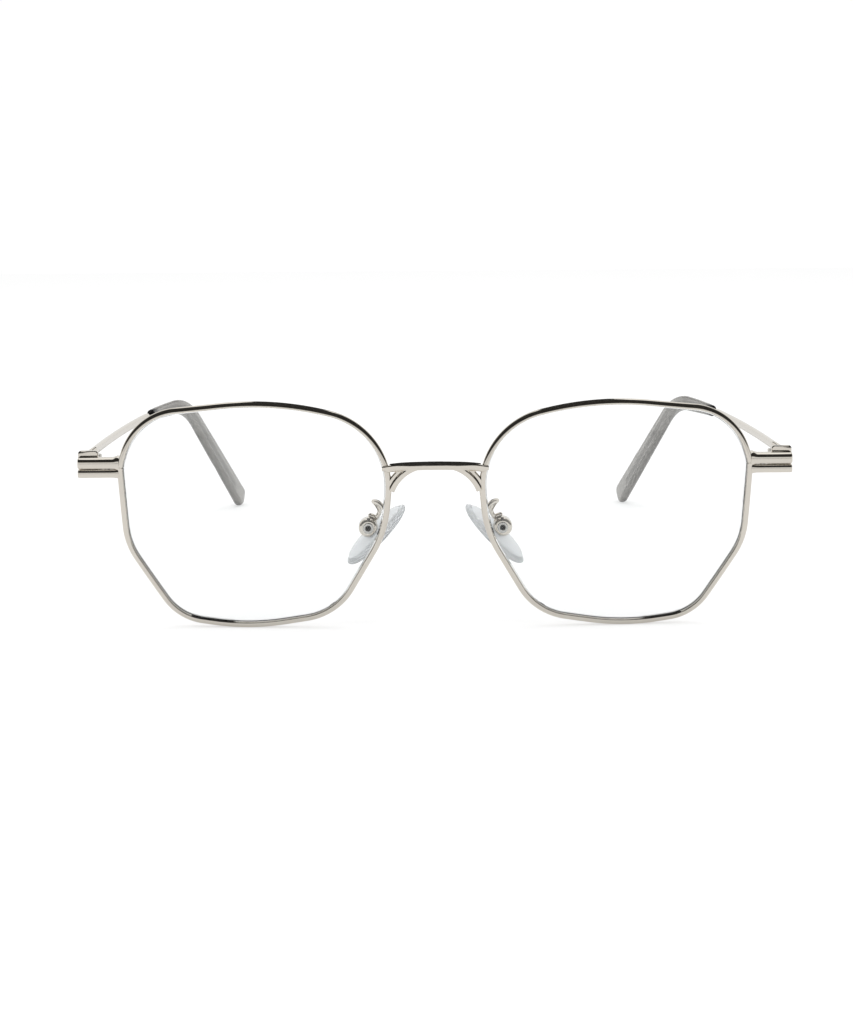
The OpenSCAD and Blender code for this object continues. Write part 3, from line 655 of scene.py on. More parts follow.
class EYEGLASSES_OT_bridge(bpy.types.Operator):
    """Arched bar with two legs, fused as by brazing"""

    bl_idname = "eyeglasses.bridge"
    bl_label = "Bridge"

    wire_x = EYE_X - 26.5 * MM
    edge, crown, crown_loss = 0.15 * MM, 0.62 * MM, 0.34 * MM
    web_inset = 0.4 * MM
    bead = 0.5 * MM
    voxel = 0.08 * MM

    def execute(self, context):
        s = context.scene.eyeglasses_front
        offset = front_offset(s)
        front_y = self.seat(s) - s.lap

        def placed(x, depth, z):
            """A point of the bridge, leaned with the front and set where the front stands."""
            y = front_y + depth
            return (x, y * math.cos(TILT) - z * math.sin(TILT) + offset[1],
                    y * math.sin(TILT) + z * math.cos(TILT) + offset[2])

        verts, faces = [], []
        for shell_verts, shell_faces in (self.bar(s, placed), *self.legs(s, placed), *self.beads(s, placed)):
            faces += [tuple(i + len(verts) for i in face) for face in shell_faces]
            verts += list(shell_verts)
        mesh = self.fused(mesh_of("bridge_bar", verts, faces))
        place("fused_bridge", mesh, "front", "polished_metal", finish_for(context, polished_metal), "bridge",
              sharp=80.0)
        return {"FINISHED"}

    def bar(self, s, placed):
        """The arched bar, thinned and lowered at its ends, which lie over the eye wires."""
        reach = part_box("bridge")[1][0]
        half = [(x, s.bar_depth) for x in np.linspace(0, self.wire_x, 26)]
        half += [(self.wire_x + 0.02 * MM, s.lap), (reach - 0.1 * MM, s.lap), (reach, s.lap - 0.12 * MM)]
        rings = []
        for x, depth in [(-x, d) for x, d in half[:0:-1]] + half:
            h = s.bar_height * (1 - 0.4 * ease(share(abs(x), self.wire_x + 0.3 * MM, 1.1 * MM)))
            crown = min(self.crown - self.crown_loss * ease(share(abs(x), 4.2 * MM, 4.2 * MM)), depth * 0.8)
            r, back = min(self.crown, h - crown, depth * 0.8), depth - self.edge
            section = (corner(back, h - self.edge, self.edge, 0, 3) + corner(crown, h - crown, crown, 90, 6)
                       + corner(r, r, r, 180, 6) + corner(back, self.edge, self.edge, 270, 3))
            foot = bar_top(s, x) - h
            rings.append([placed(x, d, foot + z) for d, z in section])
        return loft(rings)

    def legs(self, s, placed):
        """The two legs, each with the wider brazed web behind its face."""
        mid_z = s.bar_rise - s.bar_height - s.leg_radius + 0.35 * MM
        shells = []
        for side, (width, back, high_angle) in itertools.product(
                (-1, 1), ((s.leg_width, 0.05 * MM, 86), (s.web_width, self.web_inset, 72))):
            radius = s.leg_radius + width / 2
            low_angle = math.asin((s.bar_rise - s.leg_drop - mid_z) / radius)
            section = round_rect(width, s.bar_depth - 2 * back, 0.3 * MM)
            rings = []
            for a in np.linspace(low_angle, math.radians(high_angle), 24):
                ring = []
                for p, q in section:
                    x = min(s.leg_spread / 2 + (radius + p) * math.cos(a), self.wire_x + 0.05 * MM)
                    z = min(mid_z + (radius + p) * math.sin(a), bar_top(s, x) - 0.3 * MM)
                    ring.append(placed(side * x, s.bar_depth / 2 + q, z))
                rings.append(ring)
            shells.append(loft(rings))
        return shells

    def beads(self, s, placed):
        """A bead of solder at the foot of each leg."""
        r = self.bead
        arc = np.linspace(0, math.pi, 17)
        ball = np.array(turned([(r * math.sin(a), -r * math.cos(a)) for a in arc], 24))
        return [loft(ball + np.array(placed(side * (self.wire_x - r), s.bar_depth * 0.45,
                                            s.bar_rise - s.leg_drop + 0.9 * r))) for side in (-1, 1)]

    def fused(self, mesh):
        """The shells as one skin with softened joins."""
        bar = finish_mesh("bridge_bar", mesh)
        remesh = bar.modifiers.new("Fuse", "REMESH")
        remesh.mode = "VOXEL"
        remesh.voxel_size = self.voxel
        smooth = bar.modifiers.new("Blend", "SMOOTH")
        smooth.factor = 0.5
        smooth.iterations = 5
        return evaluated(bar, "fused_bridge")

    def seat(self, s):
        """Foremost place of the eye wires where the bar lies on them, before the front leans."""
        least = 1.0
        for st in outline(s.split / 2 / ARCS[0][2]):
            for out in (0.2 * MM - s.groove, s.wire_face - s.groove):
                x, z = station_point(st, out)
                y = BASE_RADIUS - math.sqrt(BASE_RADIUS ** 2 - x * x - z * z)
                if x < 0 and s.bar_rise - 2 * s.bar_height < z < s.bar_rise + s.bar_height:
                    least = min(least, x * math.sin(WRAP) + y * math.cos(WRAP))
        return least


def bar_section(depth, h, edge, under, crown):
    """Section of a bar: round upper front edge, slightly crowned face and small other edges."""
    face_r = (h - (edge + under) * (1 - math.sin(crown))) / (2 * math.sin(crown))
    x, z = edge, h / 2
    points = []
    for r, first, last, steps in ((edge, math.pi / 2, crown, 8), (face_r, crown, -crown, 7),
                                  (under, -crown, -math.pi / 2, 3)):
        arc = [(x + r * (math.cos(first) - math.cos(e)), z + r * (math.sin(e) - math.sin(first)))
               for e in np.linspace(first, last, steps + 1)]
        points += arc[1 if points else 0:]
        x, z = arc[-1]
    return points + corner(depth - under, under - h / 2, under, 270, 2) + corner(
        depth - under, h / 2 - under, under, 0, 2)


def bar_rings(low, high, edge, flare):
    """Rings along X of a bar with a round upper front edge, flared where it is brazed to the eye wire."""
    width, depth, h = high - low
    section = bar_section(depth, h, edge, 0.25 * MM, math.radians(8))
    mid, rounding = (low[2] + high[2]) / 2, 0.32 * MM
    rings = []
    for t in (-0.35, -0.1, 0.1, 0.3, 0.5, 0.75, 1.0, 1.4, 2.0, width / MM - 0.32, width / MM - 0.2,
              width / MM - 0.09, width / MM - 0.02, width / MM):
        x = low[0] + t * MM
        swell = flare * max(0.0, 1 - max(t, 0)) ** 2
        left = max(0.0, rounding - (high[0] - x)) / rounding
        shrink = 0.3 * MM * (1 - math.sqrt(max(0.0, 1 - left * left)))
        k, out = (h / 2 - shrink) / (h / 2), 1 + swell / (h / 2)
        rings.append([(x, low[1] + shrink + d * (depth - 2 * shrink) / depth, mid + z * k * out)
                      for d, z in section])
    return rings


class EYEGLASSES_OT_end_pieces(bpy.types.Operator):
    """Upper bars with their returns to the hinges, and the lock bars below them"""

    bl_idname = "eyeglasses.end_pieces"
    bl_label = "End pieces"

    gap = 0.16 * MM
    bar_edge, bar_flare = 0.8 * MM, 0.3 * MM
    lock_edge, lock_flare = 0.55 * MM, 0.12 * MM
    cheek_width, cheek_thickness, cheek_rise = 3.9 * MM, 1.1 * MM, 1.1 * MM
    sink_radius, sink_depth = 0.8 * MM, 0.45 * MM

    def execute(self, context):
        metal = finish_for(context, polished_metal)
        low, high = (np.array(c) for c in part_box("right_end_piece"))
        lock_low, lock_high = (np.array(c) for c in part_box("right_lock_bar"))
        back = low[1] + (lock_high[1] - lock_low[1])
        for name, side in SIDES.items():
            mesh = mirrored(self.end_block(low, high, lock_high[2] + self.gap, back), side)
            mesh.name = f"{name}_end_block"
            place(f"{name}_end_block", mesh, "front", "polished_metal", metal, f"{name}_end_piece")
            mesh = mirrored(self.lock_block(lock_low, lock_high), side)
            mesh.name = f"{name}_lock_block"
            place(f"{name}_lock_block", mesh, "front", "polished_metal", metal, f"{name}_lock_bar")
        return {"FINISHED"}

    def end_block(self, low, high, split_z, back):
        """The upper bar, its return to the hinge and the cheek in front of the hinge, as one."""
        parts = [bar_rings(np.array((low[0], low[1], split_z)), np.array((high[0], back, high[2])),
                           self.bar_edge, self.bar_flare)]
        for z_low, start, end in ((split_z, back - 0.7 * MM, back + 1.5 * MM),
                                  (low[2], back + self.gap, high[1])):
            section = round_rect(BUTT_THICKNESS, high[2] - z_low, 0.22 * MM)
            parts.append(stacked(section, high[0] - BUTT_THICKNESS / 2, (z_low + high[2]) / 2, (
                (start, 0.93), (start + 0.06 * MM, 1.0), (end - 0.06 * MM, 1.0), (end, 0.93))))
        outer = high[0] + 0.1 * MM
        near, z_low, z_high = back + self.gap, low[2] + 0.2 * MM, high[2] + self.cheek_rise
        far = near + self.cheek_thickness
        section = round_rect(self.cheek_width, z_high - z_low, 0.55 * MM, 6)
        parts.append(stacked(section, outer - self.cheek_width / 2, (z_low + z_high) / 2, (
            (near, 0.94), (near + 0.12 * MM, 1.0), (far - 0.05 * MM, 1.0), (far, 0.97))))
        solids = [solid("end_part", loft(rings)) for rings in parts]
        whole = solids[0]
        for part in solids[1:]:
            whole = finish_mesh("end_block", combined(whole, part, "UNION"))
        return evaluated(whole, "end_block")

    def lock_block(self, low, high):
        """The lower bar, sunk from below for the rim screw's head."""
        bar = solid("lock", loft(bar_rings(low, high, self.lock_edge, self.lock_flare)))
        x, y, _ = (np.array(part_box("right_rim_screw")[0]) + np.array(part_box("right_rim_screw")[1])) / 2
        r = self.sink_radius
        sink = turned([(r, low[2] - 0.2 * MM), (r, low[2] + self.sink_depth)], 32)
        cutter = solid("sink", loft(np.array(sink) + np.array((x, y, 0))))
        return combined(bar, cutter, "DIFFERENCE")


def slotted_screw(full, head_d, head_h, shank_d, slot_w, slot_depth):
    """A screw about Z with its head's top at 0 and its shank below, with a slot across the head."""
    edge = 0.06 * MM
    profile = [(0.0, -full), (shank_d / 2 - edge, -full), (shank_d / 2, -full + edge), (shank_d / 2, -head_h),
               (head_d / 2, -head_h), (head_d / 2, -edge * 1.5), (head_d / 2 - edge * 1.5, 0), (0.0, 0)]
    slot = block((-slot_w / 2, -head_d, -slot_depth), (slot_w / 2, head_d, slot_depth))
    return combined(solid("screw", loft(turned(profile))), solid("slot", slot), "DIFFERENCE")


class EYEGLASSES_OT_screws(bpy.types.Operator):
    """Slotted rim and hinge screws, and the pad screws with their sunk ends"""

    bl_idname = "eyeglasses.screws"
    bl_label = "Screws"

    # Head diameter and height, shank diameter, width and depth of the slot
    hinge_sizes = (1.8 * MM, 0.4 * MM, 1.2 * MM, 0.32 * MM, 0.22 * MM)
    rim_sizes = (1.5 * MM, 0.45 * MM, 1.0 * MM, 0.28 * MM, 0.22 * MM)
    # Radius and height of the pad screw's head, from below it to the bottom of its hole, in millimetres
    sunk_head = ((0.5, -0.4), (1.05, -0.4), (1.05, -0.14), (0.94, 0.0), (0.6, 0.0), (0.5, -0.12),
                 (0.46, -0.9), (0.0, -1.9))
    hinge_turn, rim_turn = 0.6, 0.9

    def execute(self, context):
        steel = finish_for(context, turned_steel)
        for name, side in SIDES.items():
            low, high = (Vector(c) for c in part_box(f"{name}_hinge_screw"))
            mesh = slotted_screw(high.z - low.z, *self.hinge_sizes)
            mesh.transform(Matrix.Rotation(side * self.hinge_turn, 4, "Z"))
            mesh.transform(Matrix.Translation(((low.x + high.x) / 2, (low.y + high.y) / 2, high.z)))
            place(f"{name}_slotted_hinge_screw", mesh, "front", "screw_steel", steel, f"{name}_hinge_screw")

            low, high = (Vector(c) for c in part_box(f"{name}_rim_screw"))
            mesh = slotted_screw(high.z - low.z, *self.rim_sizes)
            mesh.transform(Matrix.Rotation(math.pi, 4, "X") @ Matrix.Rotation(side * self.rim_turn, 4, "Z"))
            mesh.transform(Matrix.Translation(((low.x + high.x) / 2, (low.y + high.y) / 2, low.z)))
            place(f"{name}_slotted_rim_screw", mesh, "front", "screw_steel", steel, f"{name}_rim_screw")

            low, high = (Vector(c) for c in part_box(f"{name}_pad_screw"))
            full = high.y - low.y
            profile = [(0.0, -full), (0.44 * MM, -full), (0.5 * MM, -full + 0.06 * MM)]
            profile += [(r * MM, z * MM) for r, z in self.sunk_head]
            mesh = mesh_of(f"{name}_sunk_pad_screw", *loft(turned(profile)))
            mesh.transform(Matrix.Rotation(math.pi / 2, 4, "X"))
            mesh.transform(Matrix.Translation(((low.x + high.x) / 2, low.y, (low.z + high.z) / 2)))
            place(f"{name}_sunk_pad_screw", mesh, "front", "screw_steel",
                  finish_for(context, sunk_steel), f"{name}_pad_screw")
        return {"FINISHED"}


class EYEGLASSES_OT_hinges(bpy.types.Operator):
    """Three-knuckle hinges with softened edges"""

    bl_idname = "eyeglasses.hinges"
    bl_label = "Hinges"

    def execute(self, context):
        metal = finish_for(context, hinge_metal)
        for name in SIDES:
            for node, body in (("front_hinge", "front"), ("temple_hinge", f"{name}_arm")):
                mesh = node_copy(f"{name}_{node}", f"{name}_{node}_knuckles", 0.05 * MM)
                place(f"{name}_{node}_knuckles", mesh, body, "hinge_metal", metal, f"{name}_{node}")
        return {"FINISHED"}


# Temples ------------------------------------------------------------------------------------------


class TempleSweep:
    """The line along a right temple, with a section set across it at each distance."""

    toe_in, tip_lean = math.radians(4.6), math.radians(15)
    straight_fall, drop = math.radians(1.7), math.radians(38)
    step, play = 0.25 * MM, 0.06 * MM

    def __init__(self, t):
        self.t = t
        low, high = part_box("right_end_piece")
        start = np.array((high[0] - BUTT_THICKNESS / 2, high[1] + self.play, (low[2] + high[2]) / 2))
        bend = t.bend_radius * (self.drop - self.straight_fall)
        end_r = t.sleeve_end_height / 2
        end_z = (start[2] + t.lift - (t.bend_start - t.butt_length) * math.sin(self.straight_fall)
                 - t.bend_radius * (math.cos(self.straight_fall) - math.cos(self.drop)))
        self.full = t.bend_start + bend + (end_z - end_r) / math.sin(self.drop)
        self.core_end = self.full - t.plug
        count = int((self.full + end_r) / self.step) + 2
        points = [start]
        for i in range(count):
            points.append(points[-1] + self.step * self.along((i + 0.5) * self.step))
        self.points = np.array(points)

    def heading(self, s):
        """How far the temple points inwards at a distance."""
        t = self.t
        return (self.toe_in * share(s, t.butt_length, t.curve_start - t.butt_length)
                + (self.tip_lean - self.toe_in) * share(s, t.curve_start, t.curve_length))

    def fall(self, s):
        """How far it points down."""
        t = self.t
        if s < t.butt_length:
            return 0.0
        bend = t.bend_radius * (self.drop - self.straight_fall)
        return self.straight_fall + (self.drop - self.straight_fall) * share(s, t.bend_start, bend)

    def along(self, s):
        """Its direction."""
        h, f = self.heading(s), self.fall(s)
        return np.array((-math.sin(h) * math.cos(f), math.cos(h) * math.cos(f), -math.sin(f)))

    def ring(self, s, section):
        """A section set across the temple."""
        t = self.t
        i = s / self.step
        k = min(int(i), len(self.points) - 2)
        point = self.points[k] + (self.points[k + 1] - self.points[k]) * (i - k)
        move = ease(share(s, t.butt_length, t.taper))
        point = point + np.array((-t.inset * move, 0, t.lift * move))
        h, f = self.heading(s), self.fall(s)
        side = np.array((math.cos(h), math.sin(h), 0))
        up = np.array((-math.sin(h) * math.sin(f), math.cos(h) * math.sin(f), math.cos(f)))
        return [point + p * side + q * up for p, q in section]

    def bar_section(self, s):
        """Section of the wire: tall butt, bar or core."""
        t = self.t
        k = ease(share(s, t.butt_length, t.taper))
        c = share(s, t.sleeve_start - 4 * MM, 2 * MM)
        w = BUTT_THICKNESS + (t.bar_thickness - BUTT_THICKNESS) * k + (t.core_thickness - t.bar_thickness) * c
        h = t.butt_height + (t.bar_height - t.butt_height) * k + (t.core_height - t.bar_height) * c
        return round_rect(w, h, 0.2 * MM + 0.22 * MM * k)

    def sleeve_section(self, s):
        """Section of the sleeve, rounded off at both of its ends."""
        t = self.t
        k = share(s, t.sleeve_start, self.full - t.sleeve_start)
        over = min(1.0, max(0.0, s - self.full) / (t.sleeve_end_height / 2))
        cap = math.sqrt(max(0.0, 1 - over * over))
        w = (t.sleeve_thickness + (t.sleeve_end_thickness - t.sleeve_thickness) * k) * (0.35 + 0.65 * cap)
        h = (t.sleeve_height + (t.sleeve_end_height - t.sleeve_height) * k ** 0.8) * cap
        into = max(0.0, 1 - (s - t.sleeve_start) / (0.3 * MM))
        cut = 0.3 * MM * (1 - math.sqrt(max(0.0, 1 - into * into)))
        return round_rect(w - cut, h - cut, 0.95 * MM, 6)


class EYEGLASSES_OT_temples(bpy.types.Operator):
    """Flattened wire temples from the butt at the hinge to the core inside the sleeve"""

    bl_idname = "eyeglasses.temples"
    bl_label = "Temples"

    def execute(self, context):
        t = context.scene.eyeglasses_temples
        sweep = TempleSweep(t)
        places = np.concatenate((
            (0, 0.04 * MM, 0.5 * t.butt_length),
            np.linspace(t.butt_length - 0.1 * MM, t.butt_length + t.taper, 20),
            np.linspace(t.butt_length + t.taper + 2 * MM, t.sleeve_start - 4 * MM, 24),
            np.linspace(t.sleeve_start - 3.5 * MM, t.sleeve_start - 2 * MM, 4),
            np.linspace(t.sleeve_start, sweep.core_end, 50)))
        rings = []
        for s in places:
            section = sweep.bar_section(s)
            if s == 0:
                section = section * 0.95
            rings.append(sweep.ring(s, section))
        tip = sweep.bar_section(sweep.core_end) * 0.8
        rings.append(sweep.ring(sweep.core_end + 0.04 * MM, tip))
        place_pair("temple_wire", loft(rings), "{}_arm", "polished_metal",
                   finish_for(context, polished_metal), "temple")
        return {"FINISHED"}


class EYEGLASSES_OT_sleeves(bpy.types.Operator):
    """Smoke grey sleeves with a blind bore for the core wire"""

    bl_idname = "eyeglasses.sleeves"
    bl_label = "Sleeves"

    def execute(self, context):
        t = context.scene.eyeglasses_temples
        sweep = TempleSweep(t)
        inner = np.linspace(sweep.core_end + 0.05 * MM, t.sleeve_start, 60)
        outer = np.concatenate((
            t.sleeve_start + np.array((0, 0.04, 0.1, 0.2, 0.32)) * MM,
            np.linspace(t.sleeve_start + 1 * MM, sweep.full, 70),
            sweep.full + t.sleeve_end_height / 2 * np.sin(np.radians(np.linspace(10, 82, 9)))))
        bore = round_rect(t.core_thickness + 0.1 * MM, t.core_height + 0.1 * MM, 0.47 * MM, 6)
        rings = [sweep.ring(s, bore) for s in inner]
        rings += [sweep.ring(s, sweep.sleeve_section(s)) for s in outer]
        place_pair("sleeve", loft(rings), "{}_arm", "smoke_sleeve", finish_for(context, smoke_sleeve),
                   "temple_tip")
        return {"FINISHED"}


# Nose pads ----------------------------------------------------------------------------------------

PAD_LEAN = math.radians(45)
PAD_SPLAY = math.radians(18)
# Where the pad arm bends, from its root: outwards, back and up, in millimetres
ARM_BENDS = np.array([
    (1.3, 1.6, 1.2), (2.4, 2.9, 1.3), (1.9, 4.1, 0.5), (1.3, 4.8, -0.9), (1.8, 5, -2.1)]) * MM


def pad_screw_place():
    """The middle of the right pad screw at the middle of its box."""
    low, high = (Vector(c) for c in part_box("right_pad_screw"))
    box_low, box_high = (Vector(c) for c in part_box("right_pad_box"))
    return Vector(((low.x + high.x) / 2, (box_low.y + box_high.y) / 2, (low.z + high.z) / 2))


def spline(points, steps):
    """Points of a smooth curve through the given ones."""
    out = []
    last = len(points) - 1
    for i in range(last):
        a, b, c, d = (points[max(0, i - 1)], points[i], points[i + 1], points[min(last, i + 2)])
        for k in range(steps):
            t = k / steps
            out.append(0.5 * (2 * b + (c - a) * t + (2 * a - 5 * b + 4 * c - d) * t ** 2
                              + (3 * b - a - 3 * c + d) * t ** 3))
    return out + [points[last]]


def tube(points, radius, sides=16, ends=3):
    """Rings of a round wire along points, with rounded ends."""
    points = [np.array(p) for p in points]
    along = [unit(points[min(i + 1, len(points) - 1)] - points[max(i - 1, 0)]) for i in range(len(points))]
    side = unit(np.cross(along[0], (0.0, 0.3, 1.0)))
    rings = []
    for i, (point, d) in enumerate(zip(points, along)):
        side = unit(side - d * (side @ d))
        up = np.cross(side, d)
        circle = [math.cos(a) * side + math.sin(a) * up for a in around(sides)]
        rings.append([point + radius * c for c in circle])
    for a in np.radians(80) * np.arange(1, ends + 1) / ends:
        rings.append([point + radius * (math.cos(a) * c + math.sin(a) * d) for c in circle])
    return rings


class EYEGLASSES_OT_pad_arms(bpy.types.Operator):
    """Spring-wire pad arms and the round boxes that hold the pads"""

    bl_idname = "eyeglasses.pad_arms"
    bl_label = "Pad arms and boxes"

    dome, box_edge, bore_radius = 0.65 * MM, 0.15 * MM, 0.505 * MM
    root_height = 0.8 * MM

    def round_box(self, p):
        """A domed cup, flat towards the pad and slotted for its lug."""
        half, r, dome, edge = p.box_length / 2, p.box_radius, self.dome, self.box_edge
        arc = [(r - dome + dome * math.cos(a), half - dome + dome * math.sin(a))
               for a in np.radians(np.linspace(0, 90, 8))]
        profile = [(0.0, -half), (r - edge, -half), (r, edge - half)] + arc + [(0.0, half)]
        cup = solid("cup", loft(turned(profile, 64)))
        cup.data.transform(Matrix.Rotation(math.pi / 2, 4, "X"))
        far = 2 * r
        flat = mesh_of("flat", *block((-far, -far, -far), (0, far, far)))
        flat.transform(Matrix.Translation((-p.box_flat, 0, 0)) @ Matrix.Rotation(-PAD_SPLAY, 4, "Z"))
        cup = finish_mesh("cup", combined(cup, finish_mesh("flat", flat), "DIFFERENCE"))
        slot = mesh_of("slot", *block((-far, -p.box_slot / 2, -far), (p.slot_bottom, p.box_slot / 2, far)))
        cup = finish_mesh("cup", combined(cup, finish_mesh("slot", slot), "DIFFERENCE"))
        bore = mesh_of("bore", *loft(turned([(self.bore_radius, -far), (self.bore_radius, far)], 48)))
        bore.transform(Matrix.Rotation(math.pi / 2, 4, "X"))
        mesh = soften(combined(cup, finish_mesh("bore", bore), "DIFFERENCE"), 0.08 * MM)
        mesh.transform(Matrix.Translation(pad_screw_place()) @ Matrix.Rotation(-PAD_LEAN, 4, "Y"))
        return mesh

    def execute(self, context):
        s = context.scene.eyeglasses_front
        p = context.scene.eyeglasses_pads
        metal = finish_for(context, polished_metal)
        offset = front_offset(s)
        arc = ARCS[NOSE_CORNER]
        angle = math.pi - math.asin((self.root_height - arc[1]) / arc[2])
        station = (arc[0], arc[1], arc[2], angle)
        out = s.wire_face / 2 - s.groove

        def root(back):
            """Where the arm leaves the eye wire, or that far behind it."""
            return eye_point(station, out, s.wire_depth + back) + offset

        centre = np.array(pad_screw_place())
        reach = p.box_radius + p.arm_diameter / 2 + 0.02 * MM
        landing = [centre + reach * np.array((math.cos(a), 0, math.sin(a)))
                   for a in np.radians((130, 115, 100))]
        route = [root(-0.1 * MM), root(0.7 * MM)] + [root(0) + b for b in ARM_BENDS] + landing
        verts, faces = loft(tube(spline(route, 10), p.arm_diameter / 2))
        for name, side in SIDES.items():
            mesh = mirrored(mesh_of(f"{name}_spring_arm", verts, faces), side)
            place(f"{name}_spring_arm", mesh, "front", "polished_metal", metal, f"{name}_pad_arm")
            mesh = mirrored(self.round_box(p), side)
            mesh.name = f"{name}_round_box"
            place(f"{name}_round_box", mesh, "front", "polished_metal", metal, f"{name}_pad_box")
        return {"FINISHED"}


class EYEGLASSES_OT_nose_pads(bpy.types.Operator):
    """Clear moulded nose pads on their metal lugs"""

    bl_idname = "eyeglasses.nose_pads"
    bl_label = "Nose pads"

    # Width and depth of the pad as shares, from its back to its face
    profile = ((0.05, 0.0), (0.5, 0.0), (0.8, 0.01), (0.88, 0.06), (0.915, 0.2), (0.93, 0.32), (0.985, 0.36),
               (1.0, 0.43), (0.995, 0.52), (0.965, 0.66), (0.9, 0.79), (0.8, 0.88), (0.65, 0.95),
               (0.45, 0.985), (0.22, 1.0), (0.05, 1.0))
    pocket = np.array(((-0.58, -0.65, -1.03), (0.5, 0.65, 1.03))) * MM
    sides = 56

    def execute(self, context):
        p = context.scene.eyeglasses_pads
        centre = pad_screw_place()
        rings = [[(-p.pad_thickness * depth, k * p.pad_width / 2 * math.cos(a) * (1 - 0.1 * math.sin(a)),
                   k * p.pad_length / 2 * math.sin(a)) for a in around(self.sides)]
                 for k, depth in self.profile]
        verts, faces = loft(rings)
        pad_turn = (Matrix.Translation(centre) @ Matrix.Rotation(-PAD_LEAN, 4, "Y")
                    @ Matrix.Translation((-p.standoff, 0, 0)))
        for name, side in SIDES.items():
            mesh = mesh_of(f"{name}_silicone_pad", verts, faces)
            mesh.transform(pad_turn @ Matrix.Rotation(-PAD_SPLAY, 4, "Z"))
            pad = finish_mesh("pad", mesh)
            pocket = mesh_of("pocket", *block(*self.pocket))
            pocket.transform(pad_turn)
            mesh = mirrored(combined(pad, finish_mesh("pocket", pocket), "DIFFERENCE"), side)
            mesh.name = f"{name}_silicone_pad"
            piece = place(f"{name}_silicone_pad", mesh, f"{name}_pad", "pad_silicone",
                          finish_for(context, pad_silicone), f"{name}_nose_pad")
            mesh = node_copy(f"{name}_pad_lug", f"{name}_lug_plate", 0.06 * MM)
            place(f"{name}_lug_plate", mesh, f"{name}_pad", "hinge_metal",
                  finish_for(context, hinge_metal), f"{name}_pad_lug")
        return {"FINISHED"}


# Stage --------------------------------------------------------------------------------------------

CAMERA_PLACE = Vector((-0.003732, -0.5023, 0.101151))
CAMERA_DOWN = math.radians(10.234)
CAMERA_TURN = math.radians(0.26)
CAMERA_ROLL = math.radians(0.419)
CAMERA_LENS = 79.243


def combine(nodes, links, operation, a, b):
    """The result of a sum on two values, each of them a socket or a number."""
    node = nodes.new("ShaderNodeMath")
    node.operation = operation
    for socket, value in zip(node.inputs, (a, b)):
        if isinstance(value, (int, float)):
            socket.default_value = value
        else:
            links.new(value, socket)
    return node.outputs["Value"]


def ray_kinds(nodes, links):
    """Whether a ray is seen straight or through a lens, and whether metal or gloss has mirrored it."""
    path = nodes.new("ShaderNodeLightPath")
    glossy = combine(nodes, links, "MINIMUM", path.outputs["Glossy Depth"], 1.0)
    seen = combine(nodes, links, "MAXIMUM", path.outputs["Is Camera Ray"],
                   path.outputs["Is Transmission Ray"])
    return seen, glossy


def build_world():
    """White surroundings. Glossy surfaces mirror a dark front, grey sides and a white ceiling instead."""
    world = bpy.data.worlds.new("studio")
    bpy.context.scene.world = world
    world.use_nodes = True
    nodes, links = world.node_tree.nodes, world.node_tree.links
    coords = nodes.new("ShaderNodeTexCoord")
    split = nodes.new("ShaderNodeSeparateXYZ")
    links.new(coords.outputs["Generated"], split.inputs["Vector"])
    up, back = split.outputs["Z"], split.outputs["Y"]
    ceiling = between(nodes, links, up, 0.88, 0.95)
    rise = between(nodes, links, up, 0.0, 0.12)
    front = combine(nodes, links, "SUBTRACT", 1.0, between(nodes, links, back, -0.05, 0.25))
    dark = combine(nodes, links, "MULTIPLY", rise, front)
    sides = colour_mix(nodes, links, dark, (0.86, 0.86, 0.85), (0.025, 0.024, 0.022))
    mirrored_room = colour_mix(nodes, links, ceiling, sides, (1.15, 1.15, 1.14))
    seen, glossy = ray_kinds(nodes, links)
    lit = colour_mix(nodes, links, seen, (0.85, 0.85, 0.85), (1.01, 1.01, 1.01))
    background = nodes["Background"]
    background.inputs["Strength"].default_value = 1.0
    links.new(colour_mix(nodes, links, glossy, lit, mirrored_room), background.inputs["Color"])


def card_finish():
    """Black card, mirrored by the tops of the eye wires and by the bridge."""
    return new_finish("black card", (0.02, 0.02, 0.02), Roughness=0.9)[0]


def floor_finish():
    """White floor that shows white to the eye and keeps the object's soft shadow. Seen in mirrors it also
    glows near the glasses, fading out in front: painted light in the metal's reflections.
    """
    finish = bpy.data.materials.new("white floor")
    finish.use_nodes = True
    nodes, links = finish.node_tree.nodes, finish.node_tree.links
    nodes.clear()
    output = nodes.new("ShaderNodeOutputMaterial")
    coords = nodes.new("ShaderNodeTexCoord")
    speck = noise(nodes, links, coords, 60, 2)
    diffuse = nodes.new("ShaderNodeBsdfDiffuse")
    links.new(colour_mix(nodes, links, speck, (0.50, 0.50, 0.50), (0.51, 0.51, 0.51)),
              diffuse.inputs["Color"])
    glow = nodes.new("ShaderNodeEmission")
    seen, glossy = ray_kinds(nodes, links)
    plain = combine(nodes, links, "MULTIPLY", seen, combine(nodes, links, "SUBTRACT", 1.0, glossy))
    # Painted light: a glow that only mirrored rays see, strongest on the floor near the glasses and none far
    # in front.
    near = between(nodes, links, object_axis(nodes, links, coords, "Y"), -0.75, -0.2)
    level = combine(nodes, links, "MULTIPLY", near, 0.38)
    strength = combine(nodes, links, "ADD", combine(nodes, links, "MULTIPLY", plain, 0.495),
                       combine(nodes, links, "MULTIPLY", glossy, level))
    links.new(strength, glow.inputs["Strength"])
    both = nodes.new("ShaderNodeAddShader")
    links.new(diffuse.outputs["BSDF"], both.inputs[0])
    links.new(glow.outputs["Emission"], both.inputs[1])
    links.new(both.outputs["Shader"], output.inputs["Surface"])
    return finish


